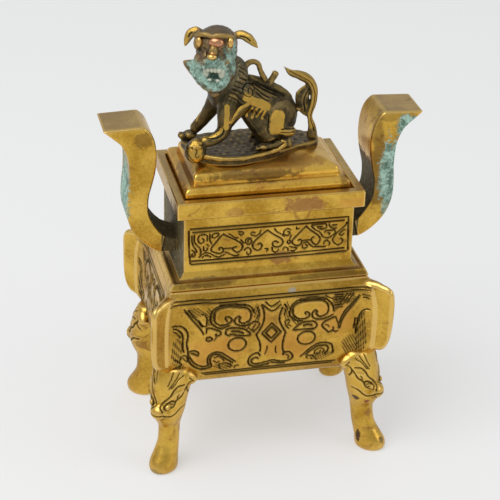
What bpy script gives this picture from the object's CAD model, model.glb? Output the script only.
from math import cos, pi, radians, sin

import bpy
import numpy as np
from mathutils import Euler, Matrix, Vector


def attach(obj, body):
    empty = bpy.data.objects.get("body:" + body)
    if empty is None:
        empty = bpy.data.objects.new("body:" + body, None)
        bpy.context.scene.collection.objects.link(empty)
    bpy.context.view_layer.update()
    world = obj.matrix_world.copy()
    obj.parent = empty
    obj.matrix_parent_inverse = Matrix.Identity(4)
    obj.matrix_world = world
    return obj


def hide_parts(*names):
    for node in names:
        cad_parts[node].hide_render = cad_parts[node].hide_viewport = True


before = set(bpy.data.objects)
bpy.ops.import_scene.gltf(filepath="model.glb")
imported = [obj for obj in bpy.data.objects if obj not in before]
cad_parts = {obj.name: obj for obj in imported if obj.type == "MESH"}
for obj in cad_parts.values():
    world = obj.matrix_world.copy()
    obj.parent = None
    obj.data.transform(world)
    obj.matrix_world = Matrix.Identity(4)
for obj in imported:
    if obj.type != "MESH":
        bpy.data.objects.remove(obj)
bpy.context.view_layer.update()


# Everything is shaped in millimetres and brought to metres when it is finished

def deselectAll():
    if bpy.context.mode != "OBJECT":
        bpy.ops.object.mode_set(mode="OBJECT")
    bpy.ops.object.select_all(action="DESELECT")


def makeActive(piece):
    deselectAll()
    piece.select_set(True)
    bpy.context.view_layer.objects.active = piece


def newest(name):
    piece = bpy.context.active_object
    piece.name = name
    piece.data.name = name
    return piece


def applyModifier(piece, kind, **values):
    makeActive(piece)
    modifier = piece.modifiers.new(kind.lower(), kind)
    for key, value in values.items():
        setattr(modifier, key, value)
    bpy.ops.object.modifier_apply(modifier=modifier.name)


def joinPieces(pieces, name):
    makeActive(pieces[0])
    for piece in pieces:
        piece.select_set(True)
    bpy.ops.object.join()
    return newest(name)


def getPoints(piece):
    points = np.empty(len(piece.data.vertices) * 3)
    piece.data.vertices.foreach_get("co", points)
    return points.reshape(-1, 3)


def setPoints(piece, points):
    piece.data.vertices.foreach_set("co", np.asarray(points, dtype=float).ravel())
    piece.data.update()


def getNormals(piece):
    normals = np.empty(len(piece.data.vertices) * 3)
    piece.data.vertex_normals.foreach_get("vector", normals)
    return normals.reshape(-1, 3)


def setMask(piece, name, values):
    layer = piece.data.attributes.get(name) or piece.data.attributes.new(name, "FLOAT", "POINT")
    layer.data.foreach_set("value", np.asarray(values, dtype=np.float32))


def getMask(piece, name):
    values = np.zeros(len(piece.data.vertices), dtype=np.float32)
    layer = piece.data.attributes.get(name)
    if layer:
        layer.data.foreach_get("value", values)
    return values


def edgesOf(piece):
    edges = np.empty(len(piece.data.edges) * 2, dtype=np.int64)
    piece.data.edges.foreach_get("vertices", edges)
    return edges.reshape(-1, 2)


def averaged(values, edges, rounds):
    # each point takes the mean of its neighbours, so many times over
    values = np.array(values, dtype=float)
    count = np.bincount(edges.ravel(), minlength=len(values)).clip(1)
    for _ in range(rounds):
        total = np.zeros_like(values)
        np.add.at(total, edges[:, 0], values[edges[:, 1]])
        np.add.at(total, edges[:, 1], values[edges[:, 0]])
        values = total / (count[:, None] if values.ndim > 1 else count)
    return values


def markHollows(piece, rounds, gain):
    # the attribute "hollow" is 0.5 on the flat, more in a hollow and less on a ridge
    points, edges = getPoints(piece), edgesOf(piece)
    smooth = averaged(points, edges, rounds)
    spacing = np.linalg.norm(points[edges[:, 0]] - points[edges[:, 1]], axis=1).mean()
    rise = ((smooth - points) * getNormals(piece)).sum(1) / spacing
    rise = averaged(rise, edges, 1)
    setMask(piece, "hollow", np.clip(0.5 + gain * rise, 0, 1))
    # old polish and dirt stay in the ground round the engraved lines
    setMask(piece, "ground", averaged(getMask(piece, "engraved"), edges, 3))


def extended(points):
    # the points with one more beyond each end, in line with the last two
    points = np.array(points, dtype=float)
    return np.vstack([2 * points[0] - points[1], points, 2 * points[-1] - points[-2]])


def curveAt(before, start, end, after, t):
    # the Catmull-Rom curve from start, where t is 0, to end, where it is 1
    return 0.5 * (2 * start + (end - before) * t + (2 * before - 5 * start + 4 * end - after) * t ** 2
                  + (3 * start - before - 3 * end + after) * t ** 3)


def smoothLine(points, step=0.4):
    # a curve through the points, sampled about every step mm
    full = extended(points)
    line = [full[1]]
    for before, start, end, after in zip(full, full[1:], full[2:], full[3:]):
        steps = max(1, int(np.linalg.norm(end - start) / step))
        t = (np.arange(1, steps + 1) / steps)[:, None]
        line.extend(curveAt(before, start, end, after, t))
    return np.array(line)


def splineAt(points, station):
    # the same curve at each station, counted in points from the first
    full = extended(points)
    low = np.clip(station.astype(int), 0, len(points) - 2)
    return curveAt(*(full[low + i] for i in range(4)), (station - low)[:, None])


# flat is the flat floor of a cut, as a share of half its width beyond 1, and the lip is the metal
# that stands up along both sides
engraving = {"flat": 1.15, "lipWidth": 2.5, "lipHeight": 0.4, "snapStep": 0.9}


def lineDepth(places, lines, width):
    # how deep each place lies in the nearest line: 1 along its middle, 0 past its edge
    depth = np.zeros(len(places))
    for points in lines:
        line = smoothLine(points)
        near = np.where(((places > line.min(0) - width) & (places < line.max(0) + width)).all(1))[0]
        if not len(near) or len(line) < 2:
            continue
        distance = np.full(len(near), np.inf)
        for start, end in zip(line, line[1:]):
            along = end - start
            offset = places[near] - start
            t = np.clip(offset @ along / max(along @ along, 1e-9), 0, 1)
            distance = np.minimum(distance, np.linalg.norm(offset - t[:, None] * along, axis=1))
        share = np.clip(engraving["flat"] - distance / (width / 2), 0, 1)
        depth[near] = np.maximum(depth[near], share ** 2 * (3 - 2 * share))
    return depth


def engrave(piece, chosen, places, inward, cuts):
    # cuts are (lines, width, how deep); places are the chosen points on the drawing's own plane
    points = getPoints(piece)
    mask = getMask(piece, "engraved")
    for lines, width, deep in cuts:
        depth = lineDepth(places, lines, width)
        lip = lineDepth(places, lines, width * engraving["lipWidth"]) * (1 - depth)
        points[chosen] += inward * ((depth - lip * engraving["lipHeight"]) * deep)[:, None]
        mask[chosen] = np.maximum(mask[chosen], depth)
    setPoints(piece, points)
    setMask(piece, "engraved", mask)


def onSurface(points, line):
    # the line moved to the nearest places of the surface
    smooth = smoothLine(line, engraving["snapStep"])
    near = np.array([points[((points - place) ** 2).sum(1).argmin()] for place in smooth])
    for _ in range(2):
        near[1:-1] = (near[:-2] + 2 * near[1:-1] + near[2:]) / 4
    return near


def engraveSurface(piece, cuts):
    # the same for lines given in space, which lie on the piece: they sink along its normals
    points, normals = getPoints(piece), getNormals(piece)
    mask = getMask(piece, "engraved")
    for lines, width, deep in cuts:
        depth = lineDepth(points, [onSurface(points, line) for line in lines], width)
        points = points - normals * (depth * deep)[:, None]
        mask = np.maximum(mask, depth) if deep > 0 else mask
    setPoints(piece, points)
    setMask(piece, "engraved", mask)


def roughen(piece, height):
    # the uneven skin of a casting: eight waves that run in different directions
    points, normals = getPoints(piece), getNormals(piece)
    wave = 0
    for k in range(1, 9):
        direction = np.array([cos(2.4 * k), sin(2.4 * k), cos(1.7 * k)])
        wave = wave + np.sin(points @ direction * (0.7 + 0.12 * k) + k)
    setPoints(piece, points + normals * (wave * height / 3)[:, None])


def paint(piece, name, strokes):
    # strokes are (line in space, width)
    points, mask = getPoints(piece), getMask(piece, name)
    for line, width in strokes:
        mask = np.maximum(mask, lineDepth(points, [onSurface(points, line)], width))
    setMask(piece, name, mask)


def bothSides(lines):
    return lines + [[(x, -y, z) for x, y, z in line] for line in lines]


def mirroredStrokes(strokes):
    return [(line, width) for path, width in strokes for line in bothSides([path])]


def finishPiece(piece, material, nodes=(), slot="polished_brass", angle=40):
    makeActive(piece)
    piece.scale = (0.001,) * 3
    bpy.ops.object.transform_apply(location=True, rotation=True, scale=True)
    bpy.ops.object.shade_smooth_by_angle(angle=radians(angle))
    piece.data.materials.clear()
    piece.data.materials.append(material)
    if nodes:
        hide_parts(*nodes)
    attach(piece, "root")
    triangles = sum(len(face.vertices) - 2 for face in piece.data.polygons)
    print(piece.name, "is finished with", triangles, "triangles")


def recalculate(piece):
    makeActive(piece)
    bpy.ops.object.mode_set(mode="EDIT")
    bpy.ops.mesh.select_all(action="SELECT")
    bpy.ops.mesh.normals_make_consistent(inside=False)
    bpy.ops.object.mode_set(mode="OBJECT")


# Shader nodes

def addNode(tree, kind, inputs=None, **settings):
    made = tree.nodes.new(kind)
    for key, value in settings.items():
        setattr(made, key, value)
    for key, value in (inputs or {}).items():
        if isinstance(value, bpy.types.NodeSocket):
            tree.links.new(value, made.inputs[key])
        else:
            made.inputs[key].default_value = value
    return made


def mathNode(tree, operation, first, second=0.0, clamp=False):
    return addNode(tree, "ShaderNodeMath", {0: first, 1: second}, operation=operation,
                   use_clamp=clamp).outputs[0]


def mixColours(tree, share, first, second):
    return addNode(tree, "ShaderNodeMix", {"Factor": share, 6: first, 7: second},
                   data_type="RGBA").outputs[2]


def mixNumbers(tree, share, first, second):
    return addNode(tree, "ShaderNodeMix", {"Factor": share, 2: first, 3: second}).outputs[0]


def readAttribute(tree, name):
    return addNode(tree, "ShaderNodeAttribute", attribute_name=name).outputs["Fac"]


def rampOf(tree, value, low, high):
    ramp = addNode(tree, "ShaderNodeMapRange", {"Value": value, "From Min": low, "From Max": high})
    ramp.interpolation_type = "SMOOTHSTEP"
    return ramp.outputs["Result"]


def noiseOf(tree, place, scale, detail=3.0, roughness=0.55, distortion=0.0):
    noise = addNode(tree, "ShaderNodeTexNoise", {"Vector": place, "Scale": scale, "Detail": detail,
                    "Roughness": roughness, "Distortion": distortion})
    return noise.outputs["Fac"]


def newGroup(name, inputs, outputs):
    tree = bpy.data.node_groups.new(name, "ShaderNodeTree")
    for socket, kind, value in inputs:
        made = tree.interface.new_socket(socket, in_out="INPUT", socket_type=kind)
        if value is not None:
            made.default_value = value
    for socket, kind in outputs:
        tree.interface.new_socket(socket, in_out="OUTPUT", socket_type=kind)
    return tree, tree.nodes.new("NodeGroupInput").outputs, tree.nodes.new("NodeGroupOutput")


floatSocket, colourSocket, vectorSocket = "NodeSocketFloat", "NodeSocketColor", "NodeSocketVector"


def makeToneGroup():
    # clouds of lighter and deeper metal, with small tarnish blotches
    tree, given, out = newGroup("metalTone", [
        ("Place", vectorSocket, None), ("Light", colourSocket, (1, 1, 1, 1)),
        ("Deep", colourSocket, (0, 0, 0, 1)), ("Tarnish", colourSocket, (0, 0, 0, 1)),
        ("Cloud Size", floatSocket, 0.035), ("Tarnish Amount", floatSocket, 0.3),
    ], [("Color", colourSocket), ("Dull", floatSocket)])
    clouds = noiseOf(tree, given["Place"], given["Cloud Size"], 4, 0.6, 0.6)
    fine = noiseOf(tree, given["Place"], 0.55, 3, 0.7)
    mixed = mathNode(tree, "ADD", mathNode(tree, "MULTIPLY", clouds, 0.72),
                     mathNode(tree, "MULTIPLY", fine, 0.28))
    colour = mixColours(tree, rampOf(tree, mixed, 0.36, 0.64), given["Deep"], given["Light"])
    blotch = rampOf(tree, noiseOf(tree, given["Place"], 0.085, 5, 0.65, 1.2), 0.56, 0.7)
    blotch = mathNode(tree, "MULTIPLY", blotch, given["Tarnish Amount"])
    colour = mixColours(tree, blotch, colour, given["Tarnish"])
    tree.links.new(colour, out.inputs["Color"])
    dull = mathNode(tree, "ADD", blotch, mathNode(tree, "MULTIPLY", fine, 0.25))
    tree.links.new(dull, out.inputs["Dull"])
    return tree


def makeSkinGroup():
    # hand-finished casting: slow waves, fine grain, thin scratches and scattered pits
    tree, given, out = newGroup("castSkin", [
        ("Place", vectorSocket, None), ("Waves", floatSocket, 0.5), ("Grain", floatSocket, 0.06),
        ("Scratches", floatSocket, 0.05), ("Pits", floatSocket, 0.3),
    ], [("Height", floatSocket), ("Pit Mask", floatSocket)])
    waves = noiseOf(tree, given["Place"], 0.09, 2, 0.5)
    grain = noiseOf(tree, given["Place"], 1.6, 4, 0.7)
    stretched = addNode(tree, "ShaderNodeMapping", {
        "Vector": given["Place"], "Scale": (0.12, 0.12, 3.0), "Rotation": (0.06, 0.1, 0)}).outputs[0]
    scratches = noiseOf(tree, stretched, 1.1, 3, 0.8)
    cells = addNode(tree, "ShaderNodeTexVoronoi", {"Vector": given["Place"], "Scale": 0.42})
    pits = rampOf(tree, cells.outputs["Distance"], 0.16, 0.06)
    rare = addNode(tree, "ShaderNodeSeparateColor", {"Color": cells.outputs["Color"]}).outputs[0]
    pits = mathNode(tree, "MULTIPLY", pits, rampOf(tree, rare, 0.74, 0.8))
    height = mathNode(tree, "MULTIPLY", waves, given["Waves"])
    height = mathNode(tree, "ADD", height, mathNode(tree, "MULTIPLY", grain, given["Grain"]))
    height = mathNode(tree, "ADD", height, mathNode(tree, "MULTIPLY", scratches, given["Scratches"]))
    height = mathNode(tree, "SUBTRACT", height, mathNode(tree, "MULTIPLY", pits, given["Pits"]))
    tree.links.new(height, out.inputs["Height"])
    tree.links.new(mathNode(tree, "MULTIPLY", pits, given["Pits"], clamp=True), out.inputs["Pit Mask"])
    return tree


def makePatchGroup():
    # an egg-shaped patch with a ragged edge
    tree, given, out = newGroup("raggedPatch", [
        ("Place", vectorSocket, None), ("Middle", vectorSocket, (0, 0, 0)),
        ("Reach", vectorSocket, (10, 10, 10)), ("Amount", floatSocket, 1.0),
        ("Grain Size", floatSocket, 0.3),
    ], [("Mask", floatSocket)])
    offset = addNode(tree, "ShaderNodeVectorMath", {0: given["Place"], 1: given["Middle"]},
                     operation="SUBTRACT").outputs[0]
    scaled = addNode(tree, "ShaderNodeVectorMath", {0: offset, 1: given["Reach"]}, operation="DIVIDE")
    far = addNode(tree, "ShaderNodeVectorMath", {0: scaled.outputs[0]}, operation="LENGTH")
    rough = noiseOf(tree, given["Place"], given["Grain Size"], 6, 0.75, 0.4)
    rough = mathNode(tree, "MULTIPLY", mathNode(tree, "SUBTRACT", rough, 0.5), 2.2)
    edge = mathNode(tree, "ADD", far.outputs["Value"], rough)
    mask = mathNode(tree, "MULTIPLY", rampOf(tree, edge, 1.15, 0.8), given["Amount"], clamp=True)
    tree.links.new(mask, out.inputs["Mask"])
    return tree


def makeCrustGroup():
    # verdigris: pale teal, darker and greener in its thin places, with a dry crumbly surface
    tree, given, out = newGroup("verdigrisCrust", [
        ("Place", vectorSocket, None), ("Pale", colourSocket, (0.4, 0.7, 0.62, 1)),
        ("Deep", colourSocket, (0.08, 0.24, 0.2, 1)),
    ], [("Color", colourSocket), ("Height", floatSocket)])
    crumbs = noiseOf(tree, given["Place"], 0.8, 5, 0.75)
    patches = noiseOf(tree, given["Place"], 0.22, 3, 0.6)
    mixed = mathNode(tree, "ADD", mathNode(tree, "MULTIPLY", crumbs, 0.5),
                     mathNode(tree, "MULTIPLY", patches, 0.5))
    tree.links.new(mixColours(tree, rampOf(tree, mixed, 0.4, 0.6), given["Deep"], given["Pale"]),
                   out.inputs["Color"])
    tree.links.new(crumbs, out.inputs["Height"])
    return tree


toneGroup, skinGroup = makeToneGroup(), makeSkinGroup()
patchGroup, crustGroup = makePatchGroup(), makeCrustGroup()

# the colours and strengths of each layer of the metal, from the bottom up
brassFinish = {
    "light": (0.72, 0.45, 0.078), "deep": (0.42, 0.225, 0.024), "cloudSize": 0.03,
    "tarnish": (0.24, 0.10, 0.03), "tarnishAmount": 0.6, "roughness": 0.24, "dullRoughness": 0.22,
    "waves": 0.6, "grain": 0.05, "scratches": 0.05, "pits": 0.35, "bump": 0.3,
    "film": (0.40, 0.32, 0.20), "filmAmount": 0.4, "filmDulls": 0.12,
    "polish": (0.72, 0.46, 0.11), "polishRoughness": 0.28, "polishShare": 0.55,
    "patina": (0.15, 0.115, 0.055), "patinaPale": (0.34, 0.33, 0.22), "patinaRoughness": 0.62,
    "patinaHeight": 0.9, "edge": (0.80, 0.54, 0.17), "edgeShine": 0.75,
    "grime": (0.25, 0.15, 0.03), "grimeShare": 0.8,
    "dark": (0.075, 0.047, 0.012), "darkShare": 0.92, "hollowShade": 0.75, "darkDulls": 0.3,
    "crustPale": (0.42, 0.62, 0.52), "crustDeep": (0.10, 0.17, 0.12), "crustDulls": 0.5,
    "crustHeight": 0.5, "paintedCrust": 0.96, "crustCovers": 0.9, "patches": [], "crusts": [],
}


def raggedMask(tree, place, attribute, grainSize, spread=0.9):
    # a painted attribute whose edge is broken up by noise
    rough = mathNode(tree, "SUBTRACT", noiseOf(tree, place, grainSize, 6, 0.75, 0.3), 0.5)
    rough = mathNode(tree, "MULTIPLY", rough, spread)
    return rampOf(tree, mathNode(tree, "ADD", readAttribute(tree, attribute), rough), 0.42, 0.6)


def patchMask(tree, place, middle, reach, amount, grainSize):
    return addNode(tree, "ShaderNodeGroup", {"Place": place, "Middle": middle, "Reach": reach,
                   "Amount": amount, "Grain Size": grainSize}, node_tree=patchGroup).outputs["Mask"]


def layOver(tree, look, mask, colour, roughness=None):
    # one more layer over the metal; look holds its colour, roughness and height so far
    look["colour"] = mixColours(tree, mask, look["colour"], colour)
    if roughness is not None:
        look["roughness"] = mixNumbers(tree, mask, look["roughness"], roughness)


def addTo(tree, look, key, mask, amount, clamp=False):
    look[key] = mathNode(tree, "ADD", look[key], mathNode(tree, "MULTIPLY", mask, amount), clamp=clamp)


def startLook(tree, place, finish):
    # the bare cast metal, and the mask of its pits
    tone = addNode(tree, "ShaderNodeGroup", {
        "Place": place, "Light": (*finish["light"], 1), "Deep": (*finish["deep"], 1),
        "Tarnish": (*finish["tarnish"], 1), "Cloud Size": finish["cloudSize"],
        "Tarnish Amount": finish["tarnishAmount"]}, node_tree=toneGroup)
    skin = addNode(tree, "ShaderNodeGroup", {
        "Place": place, **{key: finish[key.lower()] for key in ("Waves", "Grain", "Scratches", "Pits")},
    }, node_tree=skinGroup)
    dull = mathNode(tree, "MULTIPLY", tone.outputs["Dull"], finish["dullRoughness"])
    look = {"colour": tone.outputs["Color"], "height": skin.outputs["Height"],
            "roughness": mathNode(tree, "ADD", dull, finish["roughness"])}
    return look, skin.outputs["Pit Mask"]


def addFilm(tree, look, finish):
    # a thin grey film lies on what faces up
    normal = addNode(tree, "ShaderNodeTexCoord").outputs["Normal"]
    facing = addNode(tree, "ShaderNodeSeparateXYZ", {0: normal}).outputs[2]
    film = mathNode(tree, "MULTIPLY", rampOf(tree, facing, 0.55, 0.97), finish["filmAmount"])
    layOver(tree, look, film, (*finish["film"], 1))
    addTo(tree, look, "roughness", film, finish["filmDulls"])


def addPolishAndPatina(tree, place, look, finish):
    # where the attributes polish and patina are painted
    polished = raggedMask(tree, place, "polish", 0.5)
    bright, tarnish = (*finish["polish"], 1), (*finish["tarnish"], 1)
    layOver(tree, look, polished, mixColours(tree, noiseOf(tree, place, 0.12, 3), bright, tarnish))
    layOver(tree, look, mathNode(tree, "MULTIPLY", polished, finish["polishShare"]), bright)
    look["roughness"] = mixNumbers(tree, polished, look["roughness"], finish["polishRoughness"])
    aged = raggedMask(tree, place, "patina", 0.35)
    veins = rampOf(tree, noiseOf(tree, place, 0.3, 6, 0.8, 1.5), 0.5, 0.64)
    agedColour = mixColours(tree, veins, (*finish["patina"], 1), (*finish["patinaPale"], 1))
    layOver(tree, look, aged, agedColour, finish["patinaRoughness"])
    crumbs = mathNode(tree, "MULTIPLY", noiseOf(tree, place, 0.9, 4, 0.7), finish["patinaHeight"])
    addTo(tree, look, "height", aged, crumbs)


def addRelief(tree, look, finish, pits):
    # ridges are rubbed bright, hollows and engraved lines are dark, with grime beside the lines
    hollow = readAttribute(tree, "hollow")
    ridge = mathNode(tree, "MULTIPLY", rampOf(tree, hollow, 0.46, 0.3), finish["edgeShine"])
    layOver(tree, look, ridge, (*finish["edge"], 1))
    grimy = rampOf(tree, readAttribute(tree, "ground"), 0.06, 0.55)
    layOver(tree, look, mathNode(tree, "MULTIPLY", grimy, finish["grimeShare"]), (*finish["grime"], 1))
    sunk = mathNode(tree, "MULTIPLY", rampOf(tree, hollow, 0.54, 0.8), finish["hollowShade"])
    engraved = rampOf(tree, readAttribute(tree, "engraved"), 0.2, 0.75)
    lines = mathNode(tree, "MULTIPLY", engraved, finish["darkShare"])
    dark = mathNode(tree, "MAXIMUM", mathNode(tree, "MAXIMUM", sunk, lines), pits)
    layOver(tree, look, dark, (*finish["dark"], 1))
    addTo(tree, look, "roughness", dark, finish["darkDulls"], clamp=True)


def addCrusts(tree, place, look, finish):
    # verdigris where the attribute crust is painted and in the patches; it hides the metal
    painted = raggedMask(tree, place, "crust", 0.6, 1.3)
    masks = [mathNode(tree, "MULTIPLY", painted, finish["paintedCrust"])]
    masks += [patchMask(tree, place, *values) for values in finish["crusts"]]
    metal = 1.0
    for mask in masks:
        crust = addNode(tree, "ShaderNodeGroup", {
            "Place": place, "Pale": (*finish["crustPale"], 1), "Deep": (*finish["crustDeep"], 1),
        }, node_tree=crustGroup)
        layOver(tree, look, mask, crust.outputs["Color"])
        covered = mathNode(tree, "MULTIPLY", mask, finish["crustCovers"])
        metal = mathNode(tree, "SUBTRACT", metal, covered, clamp=True)
        addTo(tree, look, "roughness", mask, finish["crustDulls"], clamp=True)
        raised = mathNode(tree, "MULTIPLY", mask, crust.outputs["Height"])
        addTo(tree, look, "height", raised, finish["crustHeight"])
    return metal


def makeBronze(name, **changes):
    # patches are (middle, reach, amount, grain size, colour, roughness), and crusts are the same
    # without colour and roughness
    finish = {**brassFinish, **changes}
    material = bpy.data.materials.new(name)
    material.use_nodes = True
    tree = material.node_tree
    tree.nodes.clear()
    objectPlace = addNode(tree, "ShaderNodeTexCoord").outputs["Object"]
    place = addNode(tree, "ShaderNodeMapping", {"Vector": objectPlace, "Scale": (1000,) * 3}).outputs[0]
    look, pits = startLook(tree, place, finish)
    for middle, reach, amount, grainSize, colour, roughness in finish["patches"]:
        mask = patchMask(tree, place, middle, reach, amount, grainSize)
        layOver(tree, look, mask, (*colour, 1), roughness)
    addFilm(tree, look, finish)
    addPolishAndPatina(tree, place, look, finish)
    addRelief(tree, look, finish, pits)
    metal = addCrusts(tree, place, look, finish)
    bump = addNode(tree, "ShaderNodeBump", {
        "Height": look["height"], "Strength": finish["bump"], "Distance": 0.001})
    shader = addNode(tree, "ShaderNodeBsdfPrincipled", {
        "Base Color": look["colour"], "Metallic": metal, "Roughness": look["roughness"],
        "Normal": bump.outputs["Normal"]})
    addNode(tree, "ShaderNodeOutputMaterial", {"Surface": shader.outputs["BSDF"]})
    return material


# Basic shapes

def openTube(name, cutsX, cutsY, cutsUp):
    # an upright square tube, -1 to 1 wide and 0 to 1 high, with even cuts all round
    deselectAll()
    bpy.ops.mesh.primitive_plane_add(size=2, location=(0, 0, 0))
    piece = newest(name)
    bpy.ops.object.mode_set(mode="EDIT")
    bpy.ops.mesh.delete(type="ONLY_FACE")
    for axis, cuts in ((0, cutsX), (1, cutsY)):
        cutEdges(piece, axis, cuts)
    bpy.ops.mesh.select_all(action="SELECT")
    bpy.ops.mesh.extrude_edges_move(TRANSFORM_OT_translate={"value": (0, 0, 1)})
    cutEdges(piece, 2, cutsUp)
    bpy.ops.object.mode_set(mode="OBJECT")
    return piece


def cutEdges(piece, axis, cuts):
    # cuts every edge that runs along the axis, in passes because one pass takes 100 cuts at most
    while cuts > 1:
        share = next(n for n in range(min(cuts, 90), 0, -1) if cuts % n == 0)
        if share == 1:
            break
        bpy.ops.object.mode_set(mode="OBJECT")
        points, edges = getPoints(piece), edgesOf(piece)
        along = np.abs(points[edges[:, 0]] - points[edges[:, 1]])
        chosen = (along[:, axis] > 1e-6) & (np.delete(along, axis, 1).max(1) < 1e-6)
        piece.data.polygons.foreach_set("select", np.zeros(len(piece.data.polygons), dtype=bool))
        piece.data.vertices.foreach_set("select", np.zeros(len(points), dtype=bool))
        piece.data.edges.foreach_set("select", chosen)
        bpy.context.tool_settings.mesh_select_mode = (False, True, False)
        bpy.ops.object.mode_set(mode="EDIT")
        bpy.ops.mesh.subdivide(number_cuts=share - 1)
        cuts //= share


def gridBox(name, cutsX, cutsY, cutsZ):
    deselectAll()
    bpy.ops.mesh.primitive_cube_add(size=2, location=(0, 0, 0))
    piece = newest(name)
    bpy.ops.object.mode_set(mode="EDIT")
    for axis, cuts in enumerate((cutsX, cutsY, cutsZ)):
        cutEdges(piece, axis, cuts)
    bpy.ops.object.mode_set(mode="OBJECT")
    return piece


def selectEnd(body, upper):
    # selects the upper or lower open end of a tube
    makeActive(body)
    bpy.context.tool_settings.mesh_select_mode = (False, True, False)
    bpy.ops.object.mode_set(mode="EDIT")
    bpy.ops.mesh.select_all(action="DESELECT")
    bpy.ops.mesh.select_non_manifold()
    bpy.ops.object.mode_set(mode="OBJECT")
    points, edges = getPoints(body), edgesOf(body)
    flags = np.zeros(len(edges), dtype=bool)
    body.data.edges.foreach_get("select", flags)
    height = points[edges, 2].mean(1)
    middle = (points[:, 2].max() + points[:, 2].min()) / 2
    flags &= (height > middle) == upper
    body.data.vertices.foreach_set("select", np.isin(np.arange(len(points)), edges[flags]))
    body.data.edges.foreach_set("select", flags)
    bpy.ops.object.mode_set(mode="EDIT")
    return np.abs(points[edges[flags]]).max((0, 1))


def closeEnds(body):
    for upper in (True, False):
        selectEnd(body, upper)
        bpy.ops.mesh.edge_face_add()
        bpy.ops.object.mode_set(mode="OBJECT")
    recalculate(body)


def closeInside(body, rings):
    # carries the upper end inwards and down the inside, then closes the floor and the underside
    halfX, halfY, height = selectEnd(body, True)
    for nextX, nextY, nextHeight in rings:
        bpy.ops.mesh.extrude_edges_move(TRANSFORM_OT_translate={"value": (0, 0, nextHeight - height)})
        bpy.ops.transform.resize(value=(nextX / halfX, nextY / halfY, 1),
                                 center_override=(0, 0, nextHeight))
        halfX, halfY, height = nextX, nextY, nextHeight
    bpy.ops.mesh.edge_face_add()
    selectEnd(body, False)
    bpy.ops.mesh.edge_face_add()
    bpy.ops.object.mode_set(mode="OBJECT")
    recalculate(body)


def lengthsAlong(line):
    return np.concatenate([[0], np.cumsum(np.linalg.norm(np.diff(line, axis=0), axis=1))])


def alongProfile(profile, share):
    # the profile's two values at each share of its length
    line = smoothLine(profile, 0.3)
    length = lengthsAlong(line)
    return [np.interp(share * length[-1], length, line[:, i]) for i in (0, 1)]


# Sections with rounded corners: the outer three cells of the grid fill the rounding

def crowded(values, cuts, half, radius):
    index = (values + 1) / 2 * cuts
    inner = (half - radius) * (2 * (index - 3) / (cuts - 6) - 1)
    return np.where(index < 3, radius * index / 3 - half,
                    np.where(index > cuts - 3, half - radius * (cuts - index) / 3, inner))


def rounded(first, second, halfFirst, halfSecond, radius):
    overFirst = np.clip(np.abs(first) - (halfFirst - radius), 0, None)
    overSecond = np.clip(np.abs(second) - (halfSecond - radius), 0, None)
    far = np.hypot(overFirst, overSecond)
    scale = np.where(far > 1e-9, np.maximum(overFirst, overSecond) / np.maximum(far, 1e-9), 1)
    return (np.sign(first) * (np.minimum(np.abs(first), halfFirst - radius) + overFirst * scale),
            np.sign(second) * (np.minimum(np.abs(second), halfSecond - radius) + overSecond * scale))


# Soft bodies: eggs and limbs are joined, remeshed into one skin and smoothed

def addEgg(centre, radii, turn=0.0, tip=0.0, sides=24):
    deselectAll()
    bpy.ops.mesh.primitive_uv_sphere_add(segments=sides, ring_count=sides * 2 // 3, radius=1)
    egg = newest("egg")
    points = getPoints(egg) * np.array(radii)
    points = points @ np.array(Euler((0, radians(tip), radians(turn))).to_matrix()).T
    setPoints(egg, points + np.array(centre))
    return egg


def addLimb(path, radii, flat=1.0, axis=(0, 0, 1), sides=16, rings=36):
    # a limb along a smooth path; its section is flat times as thick along the axis
    deselectAll()
    bpy.ops.mesh.primitive_uv_sphere_add(segments=sides, ring_count=rings, radius=1)
    limb = newest("limb")
    sphere = getPoints(limb)
    line = smoothLine(path, 0.5)
    share = np.arccos(np.clip(-sphere[:, 2], -1, 1)) / pi
    along = np.clip(share * (len(line) - 1), 0, len(line) - 1.001)
    low = along.astype(int)
    middle = line[low] + (line[low + 1] - line[low]) * (along - low)[:, None]
    tangents = np.gradient(line, axis=0)
    tangent = tangents[low] / np.linalg.norm(tangents[low], axis=1)[:, None]
    thick = np.array(axis, dtype=float) - (tangent @ np.array(axis, dtype=float))[:, None] * tangent
    thick /= np.linalg.norm(thick, axis=1)[:, None].clip(1e-6)
    broad = np.cross(tangent, thick)
    size = np.interp(share, np.linspace(0, 1, len(radii)), radii)
    ends = np.minimum(share, 1 - share) * rings
    size = size * np.interp(ends, [0, 1, 2, 3], [0, 0.62, 0.9, 1])
    angle = np.arctan2(sphere[:, 1], sphere[:, 0])
    across = np.cos(angle)[:, None] * broad + flat * np.sin(angle)[:, None] * thick
    setPoints(limb, middle + size[:, None] * across)
    return limb


def remesh(body, voxel, smoothing):
    applyModifier(body, "REMESH", mode="VOXEL", voxel_size=voxel, use_smooth_shade=True)
    applyModifier(body, "SMOOTH", factor=0.5, iterations=smoothing)


def fuse(parts, name, voxel, smoothing):
    # one closed skin round all the parts
    body = joinPieces(parts, name)
    recalculate(body)
    remesh(body, voxel, smoothing)
    return body


# Drawings on the vessel, in mm: across from the middle, then the real height

def ovalLine(middleU, middleV, reachU, reachV, sides=24):
    return [(middleU + reachU * cos(2 * pi * i / sides), middleV + reachV * sin(2 * pi * i / sides))
            for i in range(sides + 1)]


def rhombusLines(middleU, middleV, reachU, reachV):
    tips = [(reachU, 0), (0, reachV), (-reachU, 0), (0, -reachV), (reachU, 0)]
    return [[(middleU + u, middleV + v), (middleU + nextU, middleV + nextV)]
            for (u, v), (nextU, nextV) in zip(tips, tips[1:])]


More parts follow.
